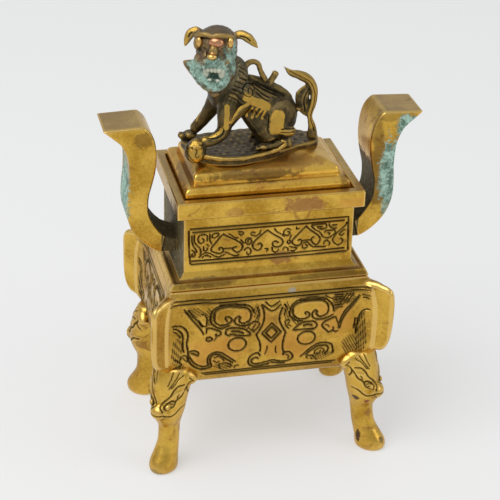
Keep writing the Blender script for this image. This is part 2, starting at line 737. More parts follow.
def hatching(middle, reach, angle, spacing):
    # parallel lines that fill an oval
    along = np.array([cos(radians(angle)), sin(radians(angle))])
    aside = np.array([-along[1], along[0]])
    middle, reach = np.array(middle, dtype=float), np.array(reach, dtype=float)
    lines = []
    for offset in np.arange(-reach.max(), reach.max(), spacing):
        start, step = offset * aside / reach, along / reach
        half = (start @ step) ** 2 - (step @ step) * (start @ start - 1)
        if half > 0.2 * (step @ step):
            ends = [(-(start @ step) + side * np.sqrt(half)) / (step @ step) for side in (-1, 1)]
            lines.append([tuple(middle + offset * aside + t * along) for t in ends])
    return lines


bellyDrawing = {
    "borders": [
        [(-61, 116.4), (-39.4, 115.4), (-31.9, 115.2), (0, 115.1), (30, 114.9), (61, 115.5)],
        [(-61, 114.2), (-39, 113.4), (-24.7, 112.8), (0, 112.9), (30, 112.9), (61, 113.6)],
        [(-42, 65.2), (0, 65.4), (42, 65.2)], [(-40, 63.6), (0, 63.8), (40, 63.6)],
    ],
    # the left half: horn, eye, ear with its leaf, cheek, jaw and corner
    "leftBroad": [
        [(-26.9, 100.6), (-27.9, 103.1), (-26.1, 103.6), (-24.4, 102.4), (-24, 100.9), (-26.1, 99.1),
         (-29.7, 98.1), (-32.6, 99.1), (-34.4, 101.6), (-34.7, 104.9), (-33.6, 108.1), (-30.1, 109.7),
         (-24.7, 110), (-19.4, 109.1), (-14.7, 108.1), (-12.6, 105.6), (-12.2, 102.7), (-13.3, 99.9),
         (-16.1, 98.3), (-18.6, 98.8), (-19.5, 100.9), (-18.6, 102.4), (-19.7, 103.3), (-21.5, 102.5),
         (-22.4, 100.6), (-21.5, 98.4), (-19, 97), (-15.8, 96.5), (-12.6, 97.4), (-10.4, 99.1)],
        [(-25.4, 97.7), (-30.1, 96.1), (-33.6, 97.4), (-36.3, 100.2), (-37, 104.1), (-35.8, 107.7),
         (-32.9, 110.2), (-28.3, 111.1), (-24.7, 111.6), (-19.4, 110.9), (-14.4, 109.9), (-11.5, 107.7),
         (-10.4, 104.9)],
        [(-25.4, 90.4), (-27.6, 92), (-27.2, 94.5), (-25.1, 95.8), (-21.1, 95.6), (-17.2, 94.5),
         (-14, 92.4), (-12.2, 90.2)],
        [(-25.1, 91.6), (-21.1, 90.6), (-17.6, 89.9), (-12.6, 89.5)],
        [(-5.8, 109.5), (-4.7, 106.3), (-4.2, 103.1), (-4.4, 99.1), (-5.4, 95.6), (-7.2, 92),
         (-8.6, 89.9), (-7.9, 87.4), (-6.5, 84.1), (-6, 80.6), (-6.1, 77.4)],
        [(-5.8, 74.1), (-7.2, 76.3), (-10.1, 75.9), (-12.6, 73.4), (-13.1, 70.2), (-11.9, 67.7),
         (-9, 66.6), (-5.1, 66.8), (0, 67.7)],
        [(-6.9, 72), (-8.3, 73.3), (-10.8, 72), (-11.1, 70.2), (-9.4, 68.4), (-6.1, 68.4), (-3.3, 69.1),
         (0, 69.7)],
        [(-52.6, 110.6), (-49, 104.9), (-45.4, 100.2), (-42.6, 96.3), (-41.1, 93.1)],
        [(-50.1, 109.9), (-47.2, 105.6), (-44, 101.6), (-41.6, 98.4)],
        [(-39.4, 93.8), (-39, 97), (-36.9, 97), (-33.6, 95.4), (-31.1, 94.1), (-30.4, 92.7),
         (-31.9, 91.3), (-33.6, 91.6), (-33.6, 92.7)],
        [(-39, 90.9), (-39.4, 88.8), (-37.6, 88.1), (-35.8, 89.1), (-37.2, 90.9), (-38.5, 90.6)],
        [(-60.4, 101.3), (-57.6, 100.9), (-54.4, 99.9), (-51.9, 97.4), (-50.6, 94.1), (-50.8, 90.9),
         (-51.3, 87.7), (-50.8, 84.1), (-50.3, 80.6), (-50.1, 76.3), (-48.6, 72.7), (-46.1, 70.2),
         (-42.6, 68.4), (-39, 68.4), (-36, 69.4)],
        [(-59.7, 99.5), (-56.9, 98.1), (-54.7, 95.6), (-53.6, 92.4), (-53.8, 88.8), (-53.8, 85.2),
         (-52.9, 82)],
        [(-49.4, 81.6), (-47.9, 82.4), (-45.4, 81.8), (-44, 80.2), (-44.4, 78.4), (-46.1, 79.5),
         (-48.3, 80.4)],
        [(-49.4, 78), (-46.9, 73.8), (-44, 71.3), (-40.8, 70.2), (-37.9, 70.6)],
        [(-37.6, 70.6), (-38.5, 73.8), (-37.9, 77), (-35.8, 79.1), (-32.9, 79.9), (-29.7, 78.8),
         (-26.1, 75.9), (-21.1, 71.6)],
        [(-35.8, 69.9), (-36.9, 74.5), (-35.8, 77.4), (-33.6, 78.4), (-30.8, 77.4), (-26.9, 74.1),
         (-22.9, 70.9)],
    ],
    "leftFine": [
        [(-14, 94.9), (-12, 93.2), (-10, 91.5)],
        [(-10.4, 98.4), (-8.3, 98.8), (-7.2, 97.4), (-7.9, 94.9), (-10.4, 92.4), (-11.1, 94.2),
         (-9.4, 96.9)],
        [(-1.9, 80.9), (-2, 78.1), (-2.9, 75.2)],
        [(-44, 103.1), (-42.6, 100.2), (-40.8, 98.3), (-39.4, 99.1), (-39, 102.7), (-40.1, 105.9),
         (-42.2, 106.6)],
        [(-59.7, 97.7), (-57.6, 95.9), (-55.1, 92.4)],
        [(-34.4, 75.6), (-31.9, 76.6), (-29.7, 75.2), (-28.3, 73)],
        [(-34.7, 73.8), (-32.9, 72.4), (-31.1, 73.1)],
        [(-30.4, 67.4), (-31.1, 70.6), (-28.3, 71.3), (-25.4, 70.9), (-23.6, 69.1), (-24.7, 67.7),
         (-26.1, 68.8)],
        [(-21.5, 67), (-21.1, 68.8), (-18.6, 68.4)],
        [(-55.1, 76.6), (-54, 79.1), (-52.2, 79.5), (-50.8, 77.4), (-50.4, 74.9), (-52.2, 75.9),
         (-53.3, 77.7)],
        [(-58.6, 77.7), (-54.7, 74.1), (-55.4, 72), (-59.4, 70.9)],
        [(-8.4, 108), (-7.2, 104), (-8.6, 101)], [(-33.3, 90.4), (-34.4, 88.4)],
    ],
    # the right half, which the engraver cut a little differently
    "rightBroad": [
        [(21.6, 100.6), (21.1, 101.8), (22.3, 102.2), (23.8, 100.9), (23.6, 99.1), (21.4, 97.9),
         (18.6, 97.7), (15.7, 98.8), (13.8, 101.3), (13.4, 104.1), (14.3, 107), (17.1, 108.6),
         (21.4, 109.5), (26.4, 109.3), (31.1, 109), (34.3, 107), (35.6, 104.1), (35.2, 100.6),
         (32.9, 98.8), (30.4, 98.1), (28.6, 99.5), (28, 100.9), (28.9, 101.8), (27.5, 102.7),
         (26.1, 102), (25.5, 99.9), (26.4, 97.7), (28.6, 96.6), (32.1, 96.3), (35.7, 97.4),
         (38.6, 98.8)],
        [(19.3, 96.3), (15.4, 97), (13.2, 98.8), (11.4, 101.3), (12.1, 105.2), (13.2, 107.7),
         (16.1, 109.9), (20, 110.9), (25, 111.3), (30.4, 110.9), (33.6, 109.9), (36.8, 107),
         (38.6, 104.1), (38.8, 101.6)],
        [(13.9, 90.6), (16.1, 92.7), (19.3, 94.9), (22.9, 95.6), (26.4, 95.2), (28.6, 93.4),
         (28.6, 91.3), (26.4, 90)],
        [(15, 90.2), (19.3, 90.4), (22.9, 90.2), (27.1, 89.9)],
        [(7, 106.3), (5.7, 102.7), (5.2, 98.8), (6.4, 95.2), (8.2, 91.6), (9.3, 89.5), (8.6, 86.3),
         (8, 82.7), (7.9, 79.1), (8.6, 75.9), (9.6, 74.5)],
        [(8.6, 73.1), (8.9, 74.9), (11.8, 75.2), (13.9, 73.4), (14.6, 70.9), (13.2, 69.1), (10, 68.4),
         (5.4, 69.1), (2.1, 70.2), (0, 69.7)],
        [(9.6, 67), (5.4, 67.7), (1.4, 68.4)],
        [(55, 110.2), (50, 104.9), (46.1, 100.6), (43.9, 96.3), (42.9, 92.7)],
        [(54.3, 108.8), (50.7, 103.8), (47.5, 99.9), (45.4, 96.3), (43.9, 92.4), (43.2, 88.8)],
        [(39.6, 97), (36.4, 95.6), (33.2, 94.1), (32, 92), (33.2, 89.9), (35, 88.1), (36.1, 86.6),
         (37.5, 87), (38.6, 87.7), (40.4, 86.6), (42.1, 87)],
        [(52.1, 88.1), (52.5, 91.6), (52.9, 94.9)],
        [(53.6, 84.5), (53.6, 88.1), (54.3, 91.6), (54.6, 94.9), (56.4, 99.1), (58.9, 100.9),
         (61, 100.9)],
        [(39.9, 71), (40, 73), (39.6, 75.2), (38.6, 77.7), (35.7, 79.1), (32.1, 79.5), (28.6, 78.4),
         (25, 75.9), (21.4, 72.4), (19.6, 70.6)],
        [(35, 70.9), (36.8, 74.1), (36.4, 76.3), (34.3, 77.4), (30.7, 77.4), (27.9, 75.9), (25, 73.8),
         (22.9, 71.6)],
    ],
    "rightFine": [
        [(33.6, 111.6), (37.5, 109.5), (40.4, 108.1)],
        [(8.6, 97), (9.6, 93.8), (11.6, 91.6)], [(9.2, 97.9), (11.6, 97.4), (10.7, 94.9), (12.5, 93.4)],
        [(3.8, 80.2), (3.4, 77), (4.3, 75.2)],
        [(40.4, 97.4), (41.4, 94.1), (42.3, 91.6), (42.1, 88.8)],
        [(34.3, 92), (35.7, 91.6), (36.4, 90.6)], [(38.6, 90.2), (39.6, 89.5), (38.9, 88.4)],
        [(33.6, 72), (34.3, 74.1), (32.1, 75.6), (30, 75.2), (28.2, 73.1), (28.9, 71.3), (31.1, 72),
         (32.1, 73.8)],
        [(24.3, 68.4), (23.2, 69.9), (25, 70.9), (27.6, 70.2), (30, 67)], [(26, 68.6), (27, 68)],
        [(10.4, 73.4), (12.1, 72), (11.8, 70.2)], [(9, 105), (8.2, 102)], [(8, 108.6), (10, 106)],
        *[[(39.6, z), (44.4, z + 0.2)] for z in (111.4, 110, 108.4, 106.8, 105, 103.2)],
        *[[(u, 112), (u - 4.4, 105.6)] for u in (47.4, 49.4, 51.4)],
        [(56.5, 110.6), (61, 110.4)], [(57, 108.8), (61, 108.2)],
    ],
    "bars": [[(-23.9, 93.5), (-20.4, 93.2), (-16.9, 91.6)],
             [(-31, 111.4), (-24.7, 110.8), (-16, 110.2)], [(20.5, 93), (22.9, 93.6), (25.7, 92.7)],
             [(18, 109.6), (26, 110.2), (33, 109.2)]],
    "ovals": [(-20.4, 84, 5.5, 4.7), (22.6, 84, 5.5, 4.6)],
    "rhombus": [(0.6, 90, 6, 6.8), (0.6, 90.1, 3.6, 4.1)],
    "hatched": [((-46, 108), (6, 3), -38, 1.5), ((-37.6, 105), (2.2, 6.4), -52, 1.5),
                ((-8.6, 104), (2, 6.6), 70, 1.5), ((9.8, 104), (2, 6.6), 110, 1.5),
                ((40, 106), (2.2, 5.6), 52, 1.5), ((47, 109), (6, 2.8), 38, 1.5),
                ((-57.4, 83), (3.6, 9.6), 84, 1.4), ((-55.6, 70), (4, 3.6), 60, 1.4),
                ((-29, 69), (6.4, 2.6), -28, 1.5), ((57, 84), (3.8, 15), 96, 1.4),
                ((50.6, 76), (5, 7.4), 118, 1.5), ((33, 70), (7, 3), 28, 1.5),
                ((-14.6, 97), (2.6, 3), 50, 1.5), ((15.6, 97), (2.6, 3), 130, 1.5)],
    "browV": [[(-5.4, 109.5), (0.6, 104.9), (6.1, 108.4)], [(-3.3, 110.9), (0.2, 108), (5.4, 110.6)]],
}

neckDrawing = {
    "frame": [
        [(-47.5, 158.3), (0, 158.3), (48.2, 158.6)], [(-46, 156), (-20, 156.2), (46, 156.4)],
        [(-46.6, 137.1), (0, 137.1), (46.6, 137.7)], [(-47, 134.9), (0, 134.9), (48, 135.4)],
        [(-48.4, 157.2), (-48.2, 146), (-47.4, 135.6)], [(48.2, 158), (48.5, 146), (49, 136)],
    ],
    "hearts": [
        [(-27.6, 153.6), (-30.2, 150.9), (-32.6, 147.7), (-34.6, 145.2), (-34.9, 143.3), (-33.8, 142.1),
         (-31.4, 141.2), (-29.1, 140.9), (-27.7, 142.1), (-27.9, 143.9), (-29.1, 144.8), (-30.2, 144.3),
         (-29.9, 143.3)],
        [(-27.8, 153.4), (-24.9, 151.5), (-22, 149.8), (-19.1, 148), (-16.7, 145.9), (-16, 143.9),
         (-17, 141.8), (-19.1, 140.6), (-20.8, 141.5), (-22, 143), (-21.4, 144.2), (-19.6, 144.2)],
        [(-1.3, 153.9), (-4.4, 151.2), (-7.3, 148.6), (-9.6, 145.9), (-9.9, 143.6), (-8.5, 141.5),
         (-6.1, 140.9), (-4.6, 142.4), (-4.4, 144.5), (-5.8, 145.6), (-6.7, 144.6)],
        [(-1.3, 153.9), (1.8, 151.2), (4.7, 149.2), (7.6, 147.1), (8.5, 145), (7.6, 143), (5.6, 142),
         (3.2, 142.4), (2.1, 144.2), (2.6, 145.6), (4.4, 145.9), (5.6, 144.6)],
        [(22.4, 154.5), (20, 152.1), (17.4, 149.2), (14.7, 146.2), (14.1, 144.2), (15.6, 142.4),
         (17.9, 141.8), (19.7, 143), (20, 144.8), (18.8, 145.9), (17.6, 145.2)],
        [(22.4, 154.5), (24.1, 152.4), (27.1, 149.8), (29.7, 147.7), (31.2, 145.6), (30.9, 143.3),
         (29.4, 141.5), (27.9, 141.8), (26.2, 143.9), (25.9, 145.9), (27.4, 146.8)],
    ],
    "scrolls": [
        [(-46.4, 154.2), (-46.4, 150.4), (-45.8, 147.4), (-44.1, 144.8), (-43.5, 142.7)],
        [(-45.1, 154.2), (-45.1, 150.4), (-43.5, 147.4), (-41.7, 145.4), (-41.1, 143), (-41.4, 141.2)],
        [(-37.3, 149.8), (-37.4, 153), (-39.4, 154.2), (-42, 153.6), (-42.9, 151.2), (-42, 148.9),
         (-40.2, 148.6), (-39.2, 150.4), (-40.4, 151.8)],
        [(-46.4, 144.5), (-44.9, 143), (-44.6, 140.6), (-46.2, 139.8), (-46.3, 142)],
        [(-42.3, 139.2), (-40.2, 140.9), (-37.9, 142), (-35.5, 141.2), (-33.2, 139.5), (-30.8, 138.6),
         (-28.5, 139), (-26.4, 140.1)],
        [(-40.2, 138.6), (-38.8, 139.9), (-36.7, 139.9), (-34.9, 138.6)],
        [(-37.6, 147.4), (-36.1, 146.2)], [(-39.4, 146), (-39.4, 143.6), (-37.4, 143.4), (-37.2, 145)],
        [(-35.8, 154.2), (-35.8, 150.4), (-34.6, 147.7)],
        [(-34.4, 151.5), (-34.4, 153.3), (-32.8, 154.4), (-30.4, 154), (-31.6, 152), (-33.2, 151.4)],
        [(-26.4, 141.5), (-24.6, 140.6), (-22.6, 139.2), (-20.2, 138.6), (-17.9, 138.9)],
        [(-24.4, 153.3), (-20.8, 150.6), (-18.8, 150.4)],
        [(-19.1, 154.2), (-16.1, 153.9), (-15.8, 152.4), (-17.3, 151.8), (-18.2, 152.7)],
        [(-17.3, 148.9), (-15.2, 146.2)],
        [(-10.8, 149.2), (-13.2, 149.5), (-14.4, 147.7), (-13.5, 145.6), (-11.7, 145.4), (-10.5, 147.4),
         (-11.4, 148.6), (-12.8, 148.2), (-12.6, 146.8)],
        [(-14.9, 141.5), (-13.8, 143), (-11.7, 142.7), (-10.9, 140.6), (-11.4, 138.9), (-13.2, 138.9),
         (-13.2, 140.6)],
        [(-11.4, 152.4), (-10.5, 151.2), (-7.9, 150.6), (-6.1, 151.8), (-5.2, 154.2)],
        [(-10.8, 153.2), (-8.5, 152.9)], [(-27.6, 143.8), (-24, 143.7), (-21.8, 143.6)],
        [(1.8, 142.1), (2.4, 139.5), (4.4, 138.6), (6.2, 140.1)],
        [(-2.6, 141.6), (-0.4, 141.4), (-1.4, 139.6)],
        [(2.9, 154.5), (4.7, 152.1), (7.4, 150.2), (9, 148.6)],
        [(13, 152.8), (10.9, 153.8), (8.8, 152.2), (9.2, 149.8), (11.6, 149.4), (12.6, 151),
         (11, 151.8)],
        [(16.4, 154.6), (16.6, 152.6), (18, 153.4)], [(13.6, 149.4), (12.6, 147)],
        [(13.2, 144.8), (12.2, 146), (11, 144.8), (12, 143.4), (13.2, 144.8)],
        [(8.5, 139.8), (9.6, 141.5), (11.4, 140.6), (11.8, 138.8)],
        [(12.6, 141.5), (14.7, 140.9), (17.1, 140.1), (15.9, 138.6), (13.2, 138.9)],
        [(20.6, 144.9), (23.4, 145), (25.2, 144.9)],
        [(20.6, 142.1), (20.6, 140.1), (22.6, 139.6), (23.7, 141.2), (22.4, 142)],
        [(21.2, 143.3), (23.6, 143.5), (26.2, 140.6), (27.9, 140.1), (35.3, 139.8)],
        [(25.6, 154.2), (27.9, 151.5), (31.2, 149.2), (33.2, 146.2), (35.9, 145.4), (38.2, 146.2),
         (40.3, 148.3), (40, 150.1), (35.3, 150.4), (33.8, 149.2)],
        [(25.6, 154.7), (34.1, 154.8), (34.4, 152.1), (30.9, 151.8), (29.4, 153.3), (32.4, 153.3)],
        [(36.5, 154.8), (36.8, 153.3), (38.2, 151.8), (41.2, 151.5)], [(38.2, 153.6), (41.4, 153.6)],
        [(47.1, 155.1), (46.8, 153.3), (44.4, 150.9), (41.8, 148.6), (40, 145.9), (39.1, 143.6),
         (40.9, 140.9), (42.9, 140.1), (45, 141.5), (45.3, 143.4), (43.8, 144.6)],
        [(46.8, 150.1), (44.7, 149.2), (43.2, 147.4), (44.1, 146.2), (45.9, 147.4)],
        [(33.8, 141.5), (34.1, 143.3), (35.9, 143.6), (37.4, 141.8), (36.8, 140.2)],
        [(35.6, 148.8), (37.2, 148.4), (36.6, 147.2)],
    ],
}


# Belly: a cushion-shaped box with a mask on every side

belly = {
    "halfX": 64.4, "halfY": 45.2, "cutsX": 216, "cutsY": 120, "cutsUp": 96,
    "profile": [(9, 56.5), (6.4, 57.2), (4.2, 58.8), (2.7, 61.4), (1.3, 66), (0.4, 75), (0, 86),
                (0, 98), (0.5, 106), (1.5, 112.5), (3, 118.4), (3.9, 120.6), (5.2, 121.2)],
    # towards each corner the faces rise in a hollow curve that runs out into the flange
    "cornerRise": [(0, 4.4), (1, 3.7), (2.8, 2.3), (5.4, 1.2), (8.6, 0.4), (12, 0)],
    "riseHeights": ([66, 76, 116.5, 120], [0, 1, 1, 0]),
    # how far in from the widest, and how high
    "inside": [(9, 121.2), (8, 117), (3.8, 96), (4.4, 70), (13, 60.2)],
    # the drawing is narrower on the short sides
    "shortSide": 0.69, "lineDeep": 0.7,
    # width, and depth as a share of lineDeep
    "cuts": {"borders": (1.3, 1), "broad": (1.5, 1), "rhombus": (1.4, 1), "fine": (1.15, 0.85),
             "bars": (1.9, 0.8), "hatching": (0.75, 0.5)},
}


def bellyCuts(squeeze):
    drawing = bellyDrawing
    rings = [ovalLine(*oval) for oval in drawing["ovals"]]
    kinds = {
        "borders": drawing["borders"],
        "broad": drawing["leftBroad"] + drawing["rightBroad"] + rings + drawing["browV"],
        "rhombus": [line for size in drawing["rhombus"] for line in rhombusLines(*size)],
        "fine": drawing["leftFine"] + drawing["rightFine"],
        "bars": drawing["bars"],
        "hatching": [line for zone in drawing["hatched"] for line in hatching(*zone)],
    }
    cuts = []
    for kind, (width, share) in belly["cuts"].items():
        lines = [[(u * squeeze, v) for u, v in line] for line in kinds[kind]]
        cuts.append((lines, width, belly["lineDeep"] * share))
    return cuts


def makeBelly():
    body = openTube("belly", belly["cutsX"], belly["cutsY"], belly["cutsUp"])
    points = getPoints(body)
    around, share = points[:, :2].copy(), points[:, 2]
    draw, height = alongProfile(belly["profile"], share)
    points[:, 0] = around[:, 0] * (belly["halfX"] - draw)
    points[:, 1] = around[:, 1] * (belly["halfY"] - draw)
    points[:, 2] = height
    rising = np.interp(height, *belly["riseHeights"])
    rising = rising * rising * (3 - 2 * rising)
    for axis, half in ((0, belly["halfX"]), (1, belly["halfY"])):
        onFace = np.abs(around[:, 1 - axis]) > 1 - 1e-4
        fromCorner = half - draw - np.abs(points[:, axis])
        rise = np.interp(fromCorner, *smoothLine(belly["cornerRise"], 0.3).T) * rising
        points[onFace, 1 - axis] += (np.sign(around[:, 1 - axis]) * rise)[onFace]
    setPoints(body, points)
    for direction in ((0, -1), (1, 0), (0, 1), (-1, 0)):
        chosen = np.where((around @ np.array(direction) > 1 - 1e-4))[0]
        right = np.array([-direction[1], direction[0]])
        places = np.column_stack([points[chosen, :2] @ right, points[chosen, 2]])
        engrave(body, chosen, places, np.array([-direction[0], -direction[1], 0.0]),
                bellyCuts(belly["shortSide"] if direction[0] else 1.0))
    closeInside(body, [(belly["halfX"] - inset, belly["halfY"] - inset, height)
                       for inset, height in belly["inside"]])
    markHollows(body, 4, 0.9)
    return body


# Corner flanges: flat fins that grow out of the belly's corners in a soft hollow curve

flange = {"inner": -13, "reach": 18.7, "rootX": 60.6, "rootY": 41.3, "rimRadius": 1.4,
          "cutsOut": 40, "cutsUp": 56, "cutsThick": 10,
          "thickness": [(-13, 3), (-2, 3.4), (1, 3.4), (4, 3), (8, 2.4), (13, 2), (18.7, 1.7)],
          "topEdge": [(-13, 118.4), (4.4, 119.2), (10.1, 118.2), (14.1, 117.4), (16.9, 115.4),
                      (18.2, 111.8), (18.7, 107)],
          "lowEdge": [(-13, 72.8), (4.1, 71.9), (8.8, 72.6), (12.7, 73.7), (15.5, 77.3), (17.1, 82),
                      (18.2, 90), (18.7, 99)]}


def makeFlanges():
    fins = []
    for signX, signY in ((-1, -1), (1, -1), (1, 1), (-1, 1)):
        fin = gridBox("flange", flange["cutsOut"], flange["cutsThick"], flange["cutsUp"])
        grid = getPoints(fin)
        reach = flange["inner"] + (flange["reach"] - flange["inner"]) * ((grid[:, 0] + 1) / 2)
        half, top, low = (np.interp(reach, *smoothLine(flange[key], 0.5).T)
                          for key in ("thickness", "topEdge", "lowEdge"))
        height = (low + top) / 2 + grid[:, 2] * (top - low) / 2
        # round the rim: the section shrinks towards the top, the foot and the outer end
        rim = np.minimum(np.minimum(top - height, height - low), flange["reach"] - reach)
        soft = np.sqrt(np.clip(1 - (1 - np.clip(rim / flange["rimRadius"], 0, 1)) ** 2, 0.05, 1))
        side = grid[:, 1] * half * soft
        out = np.array([signX, signY, 0]) / np.sqrt(2)
        across = np.array([-out[1], out[0], 0])
        root = np.array([signX * flange["rootX"], signY * flange["rootY"], 0])
        points = root + reach[:, None] * out + side[:, None] * across
        points[:, 2] = height
        setPoints(fin, points)
        recalculate(fin)
        fins.append(fin)
    fins = joinPieces(fins, "flanges")
    applyModifier(fins, "SMOOTH", factor=0.5, iterations=6)
    markHollows(fins, 5, 0.7)
    return fins


# Neck, shoulder and rim

neck = {"cutsX": 200, "cutsY": 84, "cutsUp": 140, "ringSpacing": 0.62, "panel": (131, 164),
        "lineDeep": 0.6, "lineWidths": {"frame": 1.2, "hearts": 1.3, "scrolls": 1.1},
        "inside": [(47.6, 30.1, 172.2), (47.6, 30.1, 128), (50, 32.5, 123)], "patina": (126, 166.4),
        # half width, half depth and height, from the foot up and over the rim
        "profile": [(58.6, 39.4, 121.2), (60, 40.7, 121.5), (60.5, 41.2, 122.2), (59.9, 40.6, 123.6),
                    (59.3, 40.1, 125), (58.7, 39.6, 125.7), (57.7, 38.8, 125.9), (56.2, 37.6, 125.7),
                    (54.2, 36, 126.3), (52.6, 34.8, 127.7), (51.7, 34.1, 129.3), (51.2, 33.7, 130.4),
                    (51.2, 33.7, 165.6), (51.4, 33.9, 166.5), (55.4, 38.1, 166.7), (56, 38.7, 167.3),
                    (56, 38.7, 176.7), (55.5, 38.2, 177.4), (51.4, 33.9, 177.4), (50.8, 33.3, 176.9),
                    (50.8, 33.3, 172.5)]}


def makeNeck():
    body = openTube("neck", neck["cutsX"], neck["cutsY"], neck["cutsUp"])
    points = getPoints(body)
    around, share = points[:, :2].copy(), points[:, 2].copy()
    stations = np.array(neck["profile"])
    lengths = np.linalg.norm(np.diff(stations, axis=0), axis=1)
    counts = np.maximum(2, np.round(lengths / neck["ringSpacing"])).astype(int)
    counts[lengths.argmax()] += neck["cutsUp"] - counts.sum()
    ring, index = np.round(share * neck["cutsUp"]), np.arange(len(stations))
    station = np.interp(ring, np.concatenate([[0], np.cumsum(counts)]), index)
    halfX, halfY, height = (np.interp(station, index, column) for column in stations.T)
    points = np.column_stack([around[:, 0] * halfX, around[:, 1] * halfY, height])
    setPoints(body, points)
    cuts = [(neckDrawing[kind], width, neck["lineDeep"]) for kind, width in neck["lineWidths"].items()]
    low, high = neck["panel"]
    for direction in (-1, 1):
        chosen = np.where((around[:, 1] * direction > 1 - 1e-4) & (height > low) & (height < high))[0]
        places = np.column_stack([-direction * points[chosen, 0], points[chosen, 2]])
        engrave(body, chosen, places, np.array([0.0, -direction, 0]), cuts)
    closeInside(body, neck["inside"])
    markHollows(body, 3, 0.8)
    # the short sides of the neck were never polished
    points, normals = getPoints(body), getNormals(body)
    low, high = neck["patina"]
    ends = (np.abs(normals[:, 0]) > 0.5) & (points[:, 2] < high) & (points[:, 2] > low)
    setMask(body, "patina", averaged(ends.astype(float), edgesOf(body), 2))
    return body


# Lid: a stepped cover with a thin dark groove round its upper slab

lid = {"halfX": 49.3, "halfY": 31.8, "shift": -0.7, "corner": 1.2, "cutsX": 60, "cutsY": 40,
       "ringSpacing": 0.8,
       # how far in from the widest, and how high
       "profile": [(0, 172.9), (0, 180), (0.3, 181.1), (1.2, 182.2), (2.8, 183.1), (4.2, 183.3),
                   (4.9, 182.7), (5.4, 182.6), (5.8, 183.6), (5.7, 185), (5.9, 186.8), (6.5, 188.2),
                   (7.7, 189.1), (9.6, 189.8), (12.5, 190.8), (17, 192), (23, 193), (28, 193.4)]}


def makeLid():
    profile = np.array(lid["profile"])
    steps = []
    for (draw, height), (nextDraw, nextHeight) in zip(profile, profile[1:]):
        count = max(2, int(np.hypot(nextDraw - draw, nextHeight - height) / lid["ringSpacing"]))
        for i in range(count):
            steps.append((draw + (nextDraw - draw) * i / count,
                          height + (nextHeight - height) * i / count))
    steps.append(tuple(profile[-1]))
    # the tube is cut in an even number of steps
    if len(steps) % 2 == 0:
        steps.insert(1, ((steps[0][0] + steps[1][0]) / 2, (steps[0][1] + steps[1][1]) / 2))
    body = openTube("lidCover", lid["cutsX"], lid["cutsY"], len(steps) - 1)
    grid = getPoints(body)
    level = np.round(grid[:, 2] * (len(steps) - 1)).astype(int)
    draw, height = np.array(steps)[level].T
    halfX, halfY = lid["halfX"] - draw, lid["halfY"] - draw
    corner = np.minimum(lid["corner"], np.minimum(halfX, halfY) - 0.2)
    across = crowded(grid[:, 0], lid["cutsX"], halfX, corner)
    deep = crowded(grid[:, 1], lid["cutsY"], halfY, corner)
    across, deep = rounded(across, deep, halfX, halfY, corner)
    setPoints(body, np.column_stack([across + lid["shift"], deep, height]))
    closeEnds(body)
    applyModifier(body, "SMOOTH", factor=0.5, iterations=2)
    markHollows(body, 3, 0.6)
    return body


# Handles: upright S-shaped slabs

handle = {"halfDeep": 14.4, "cutsAlong": 120, "cutsDeep": 36, "cutsThick": 18, "corner": 1.3,
          "endRadius": 1.6,
          # the slab is less deep near its foot
          "depthShares": ([0, 8.6, 8.7, 30, 60], [0.84, 0.84, 0.9, 0.93, 1]),
          "leanFrom": 150, "leanOver": 55, "patinaFoot": 61.6, "patinaTop": 194,
          # outer and inner edge, each as distance from the middle and height
          "stations": [((51.3, 133.4), (51.3, 141)), ((56, 133.4), (55.4, 142.6)),
                       ((61, 133.5), (58.6, 144.4)), ((65.6, 135.6), (61.2, 146.9)),
                       ((70.6, 139.4), (63.8, 150.4)), ((76, 145.2), (66.6, 155)),
                       ((79.6, 152), (68.4, 159.8)), ((81.6, 161), (69, 165)),
                       ((81.4, 171), (68.6, 172)), ((80.6, 180), (66.8, 179.6)),
                       ((80.5, 188), (65.2, 187.6)), ((81.4, 196), (64.7, 196)),
                       ((84.8, 204.3), (65.4, 204.6)), ((90.6, 210), (67.7, 211.2)),
                       ((96.4, 215), (72, 216))]}


def makeHandle(side, lean):
    body = gridBox("handleLeft" if side < 0 else "handleRight", handle["cutsAlong"], handle["cutsDeep"],
                   handle["cutsThick"])
    grid = getPoints(body)
    outer, inner = np.array(handle["stations"], dtype=float).transpose(1, 0, 2)
    radius = handle["endRadius"]
    lengths = lengthsAlong((outer + inner) / 2)
    index = (grid[:, 0] + 1) / 2 * handle["cutsAlong"]
    place = np.interp(index, [0, 3, handle["cutsAlong"] - 3, handle["cutsAlong"]],
                      [0, 0.9, lengths[-1] - radius, lengths[-1]])
    station = np.interp(place, lengths, np.arange(len(lengths)))
    outerPlace, innerPlace = splineAt(outer, station), splineAt(inner, station)
    half = np.linalg.norm(outerPlace - innerPlace, axis=1) / 2
    deepHalf = handle["halfDeep"] * np.interp(place, *handle["depthShares"])
    ending = np.clip(1 - (lengths[-1] - place) / radius, 0, 1)
    shrink = radius * (1 - np.sqrt(np.clip(1 - ending ** 2, 0, 1)))
    thick = crowded(grid[:, 2], handle["cutsThick"], half, handle["corner"])
    deep = crowded(grid[:, 1], handle["cutsDeep"], deepHalf, handle["corner"])
    thick, deep = rounded(thick, deep, half, deepHalf, handle["corner"])
    thick, deep = thick * (half - shrink) / half, deep * (deepHalf - shrink) / deepHalf
    share = (thick / half + 1) / 2
    flatPlace = innerPlace + (outerPlace - innerPlace) * share[:, None]
    outward, height = flatPlace.T
    leaning = lean * np.clip((height - handle["leanFrom"]) / handle["leanOver"], 0, 1)
    points = np.column_stack([(outward + leaning) * side, deep, height])
    setPoints(body, points)
    recalculate(body)
    markHollows(body, 3, 0.8)
    # the foot and the face turned to the vessel were never polished
    foot = np.clip((handle["patinaFoot"] - np.abs(points[:, 0])) / 1.2, 0, 1)
    inside = np.clip(-getNormals(body)[:, 0] * side * 2 - 0.6, 0, 1)
    inside *= np.clip((handle["patinaTop"] - points[:, 2]) / 20, 0, 1)
    setMask(body, "patina", np.maximum(foot, inside))
    return body


# Legs: a beast's head over a shaft and a flared foot; out is away from the vessel, along its diagonal

